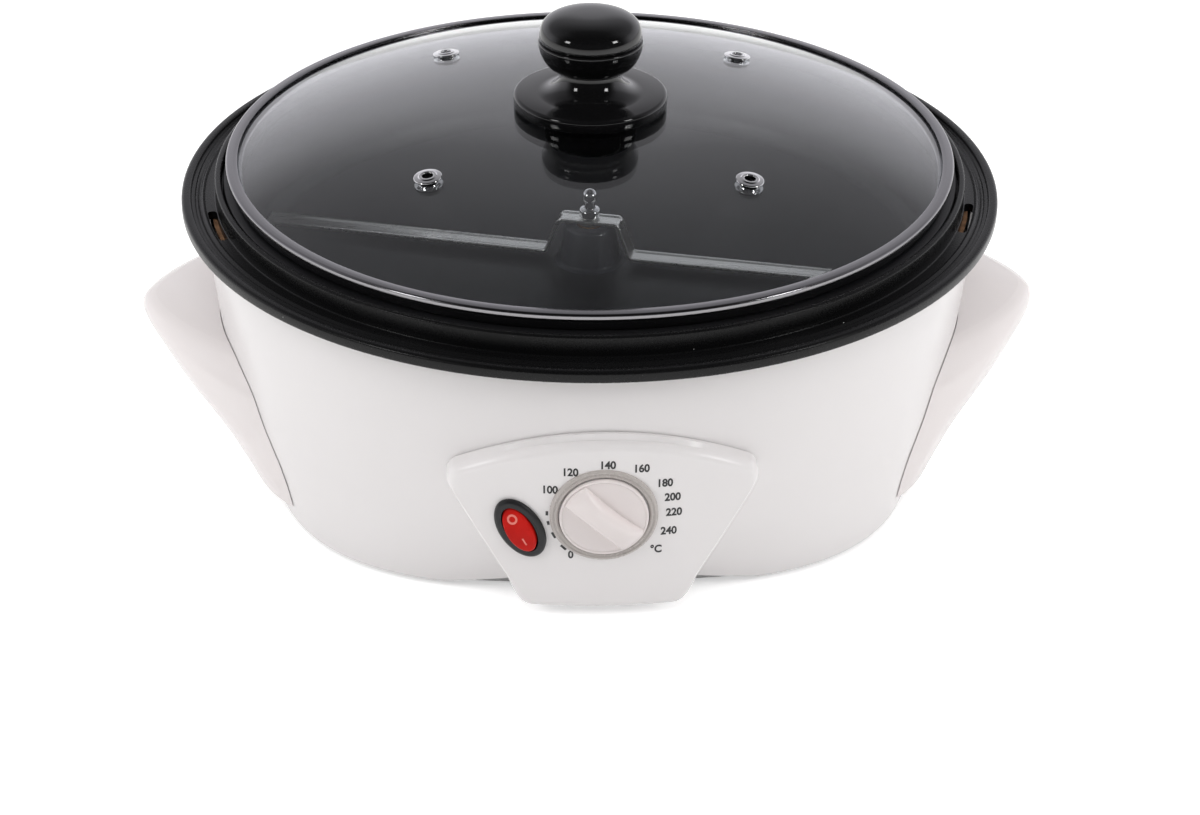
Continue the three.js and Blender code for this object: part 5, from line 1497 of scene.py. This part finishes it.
def studio_world():
    world = bpy.data.worlds.new("studio")
    bpy.context.scene.world = world
    world.use_nodes = True
    tree = world.node_tree
    tree.nodes.clear()
    place = tree.nodes.new("ShaderNodeTexCoord").outputs["Generated"]
    parts = add_node(tree, "ShaderNodeSeparateXYZ", Vector=place).outputs
    ramp = add_node(tree, "ShaderNodeValToRGB", Fac=parts["Z"])
    marks = ramp.color_ramp.elements
    while len(marks) < len(SKY):
        marks.new(0.5)
    for mark, (position, value) in zip(marks, SKY):
        mark.position = position
        mark.color = (*(part * value for part in SKY_TINT), 1)
    side = add_node(tree, "ShaderNodeMapRange", Value=parts["Y"], From_Min=FRONT_END, From_Max=BACK_START,
                    To_Min=FRONT_SHARE, To_Max=1.0)
    side.interpolation_type = "SMOOTHSTEP"
    seen = backdrop(tree, ramp.outputs["Color"], side.outputs["Result"])
    fill = backdrop(tree, (1, 0.99, 0.985, 1), FILL_STRENGTH)
    from_camera, mirrored = ray_masks(tree)
    reflected = fed(tree, tree.nodes.new("ShaderNodeMixShader"), mirrored, fill, seen)
    white = backdrop(tree, (1, 1, 1, 1))
    final = fed(tree, tree.nodes.new("ShaderNodeMixShader"), from_camera, reflected, white)
    add_node(tree, "ShaderNodeOutputWorld", Surface=final)


studio_world()

# %% Floor
FLOOR_HALF = 6000
FLOOR_GLOW = 0.45


def studio_floor():
    build = bmesh.new()
    corners = box_outline(-FLOOR_HALF, FLOOR_HALF, -FLOOR_HALF, FLOOR_HALF)
    build.faces.new([build.verts.new((x * MM, y * MM, 0)) for x, y in corners])
    plane = link("studio_floor", plain_mesh("studio_floor", build))
    material = surface("studio floor", (0.92, 0.92, 0.92), (0.90, 0.90, 0.90), tone_scale=2.0,
                       rough=(0.6, 0.7), bump=0.0, Specular_IOR_Level=0.1, Emission_Color=(1, 1, 1, 1))
    tree = material.node_tree
    seen = add_math(tree, "MAXIMUM", *ray_masks(tree))
    glow = add_math(tree, "MULTIPLY", seen, FLOOR_GLOW)
    put(tree, tree.nodes["Principled BSDF"].inputs["Emission Strength"], glow)
    plane.data.materials.append(material)


studio_floor()


# %% Lamps
LAMP_TARGET = Vector((0, 0, 0.08))
# Each lamp: name, azimuth and elevation in degrees, distance, width and height in metres, watts, and
# whether reflections and the glass show it
LAMPS = [
    ("left softbox", -57, 27, 1.6, 0.28, 0.3, 3, True),
    ("right softbox", 57, 27, 1.6, 0.28, 0.3, 3.6, True),
    ("overhead softbox", 0, 82, 1.6, 2.2, 2.2, 18, False),
    ("left wall", -78, 35, 1.8, 1.0, 1.0, 8, False),
    ("right wall", 78, 25, 1.8, 1.0, 1.0, 7, False),
]


def softbox(name, azimuth, elevation, distance, width, height, watts, seen):
    """An area lamp that faces the object's middle. Azimuth zero is straight in front."""
    turn, lift = math.radians(azimuth), math.radians(elevation)
    way = Vector((math.sin(turn) * math.cos(lift), -math.cos(turn) * math.cos(lift), math.sin(lift)))
    lamp = bpy.data.lights.new(name, "AREA")
    lamp.shape = "RECTANGLE"
    lamp.size, lamp.size_y = width, height
    lamp.energy = watts
    holder = link(name, lamp)
    holder.location = LAMP_TARGET + way * distance
    holder.rotation_euler = way.to_track_quat("Z", "Y").to_euler()
    holder.visible_glossy = holder.visible_transmission = seen


for lamp_row in LAMPS:
    softbox(*lamp_row)

# %% [markdown]
# ## Camera
#
# The camera stands in front of the roaster and looks down on it at about thirty degrees, through a
# moderately long lens, so the ellipses of the rim stay nearly true.

# %% Camera
CAMERA_PLACE = Vector((-33.7, -920.1, 535.7)) * MM
CAMERA_DOWN = math.radians(30.12)
CAMERA_YAW = math.radians(-2.385)
CAMERA_ROLL = math.radians(0.453)
SENSOR_WIDTH, FOCAL_LENGTH = 36, 78
lens = bpy.data.cameras.new("camera")
lens.sensor_width, lens.lens = SENSOR_WIDTH, FOCAL_LENGTH
camera = link("camera", lens)
turn = Matrix.Rotation(CAMERA_YAW, 4, "Z") @ Matrix.Rotation(math.pi / 2 - CAMERA_DOWN, 4, "X")
camera.matrix_world = Matrix.Translation(CAMERA_PLACE) @ turn @ Matrix.Rotation(CAMERA_ROLL, 4, "Z")
bpy.context.scene.camera = camera
bpy.context.scene.view_settings.view_transform = "Standard"
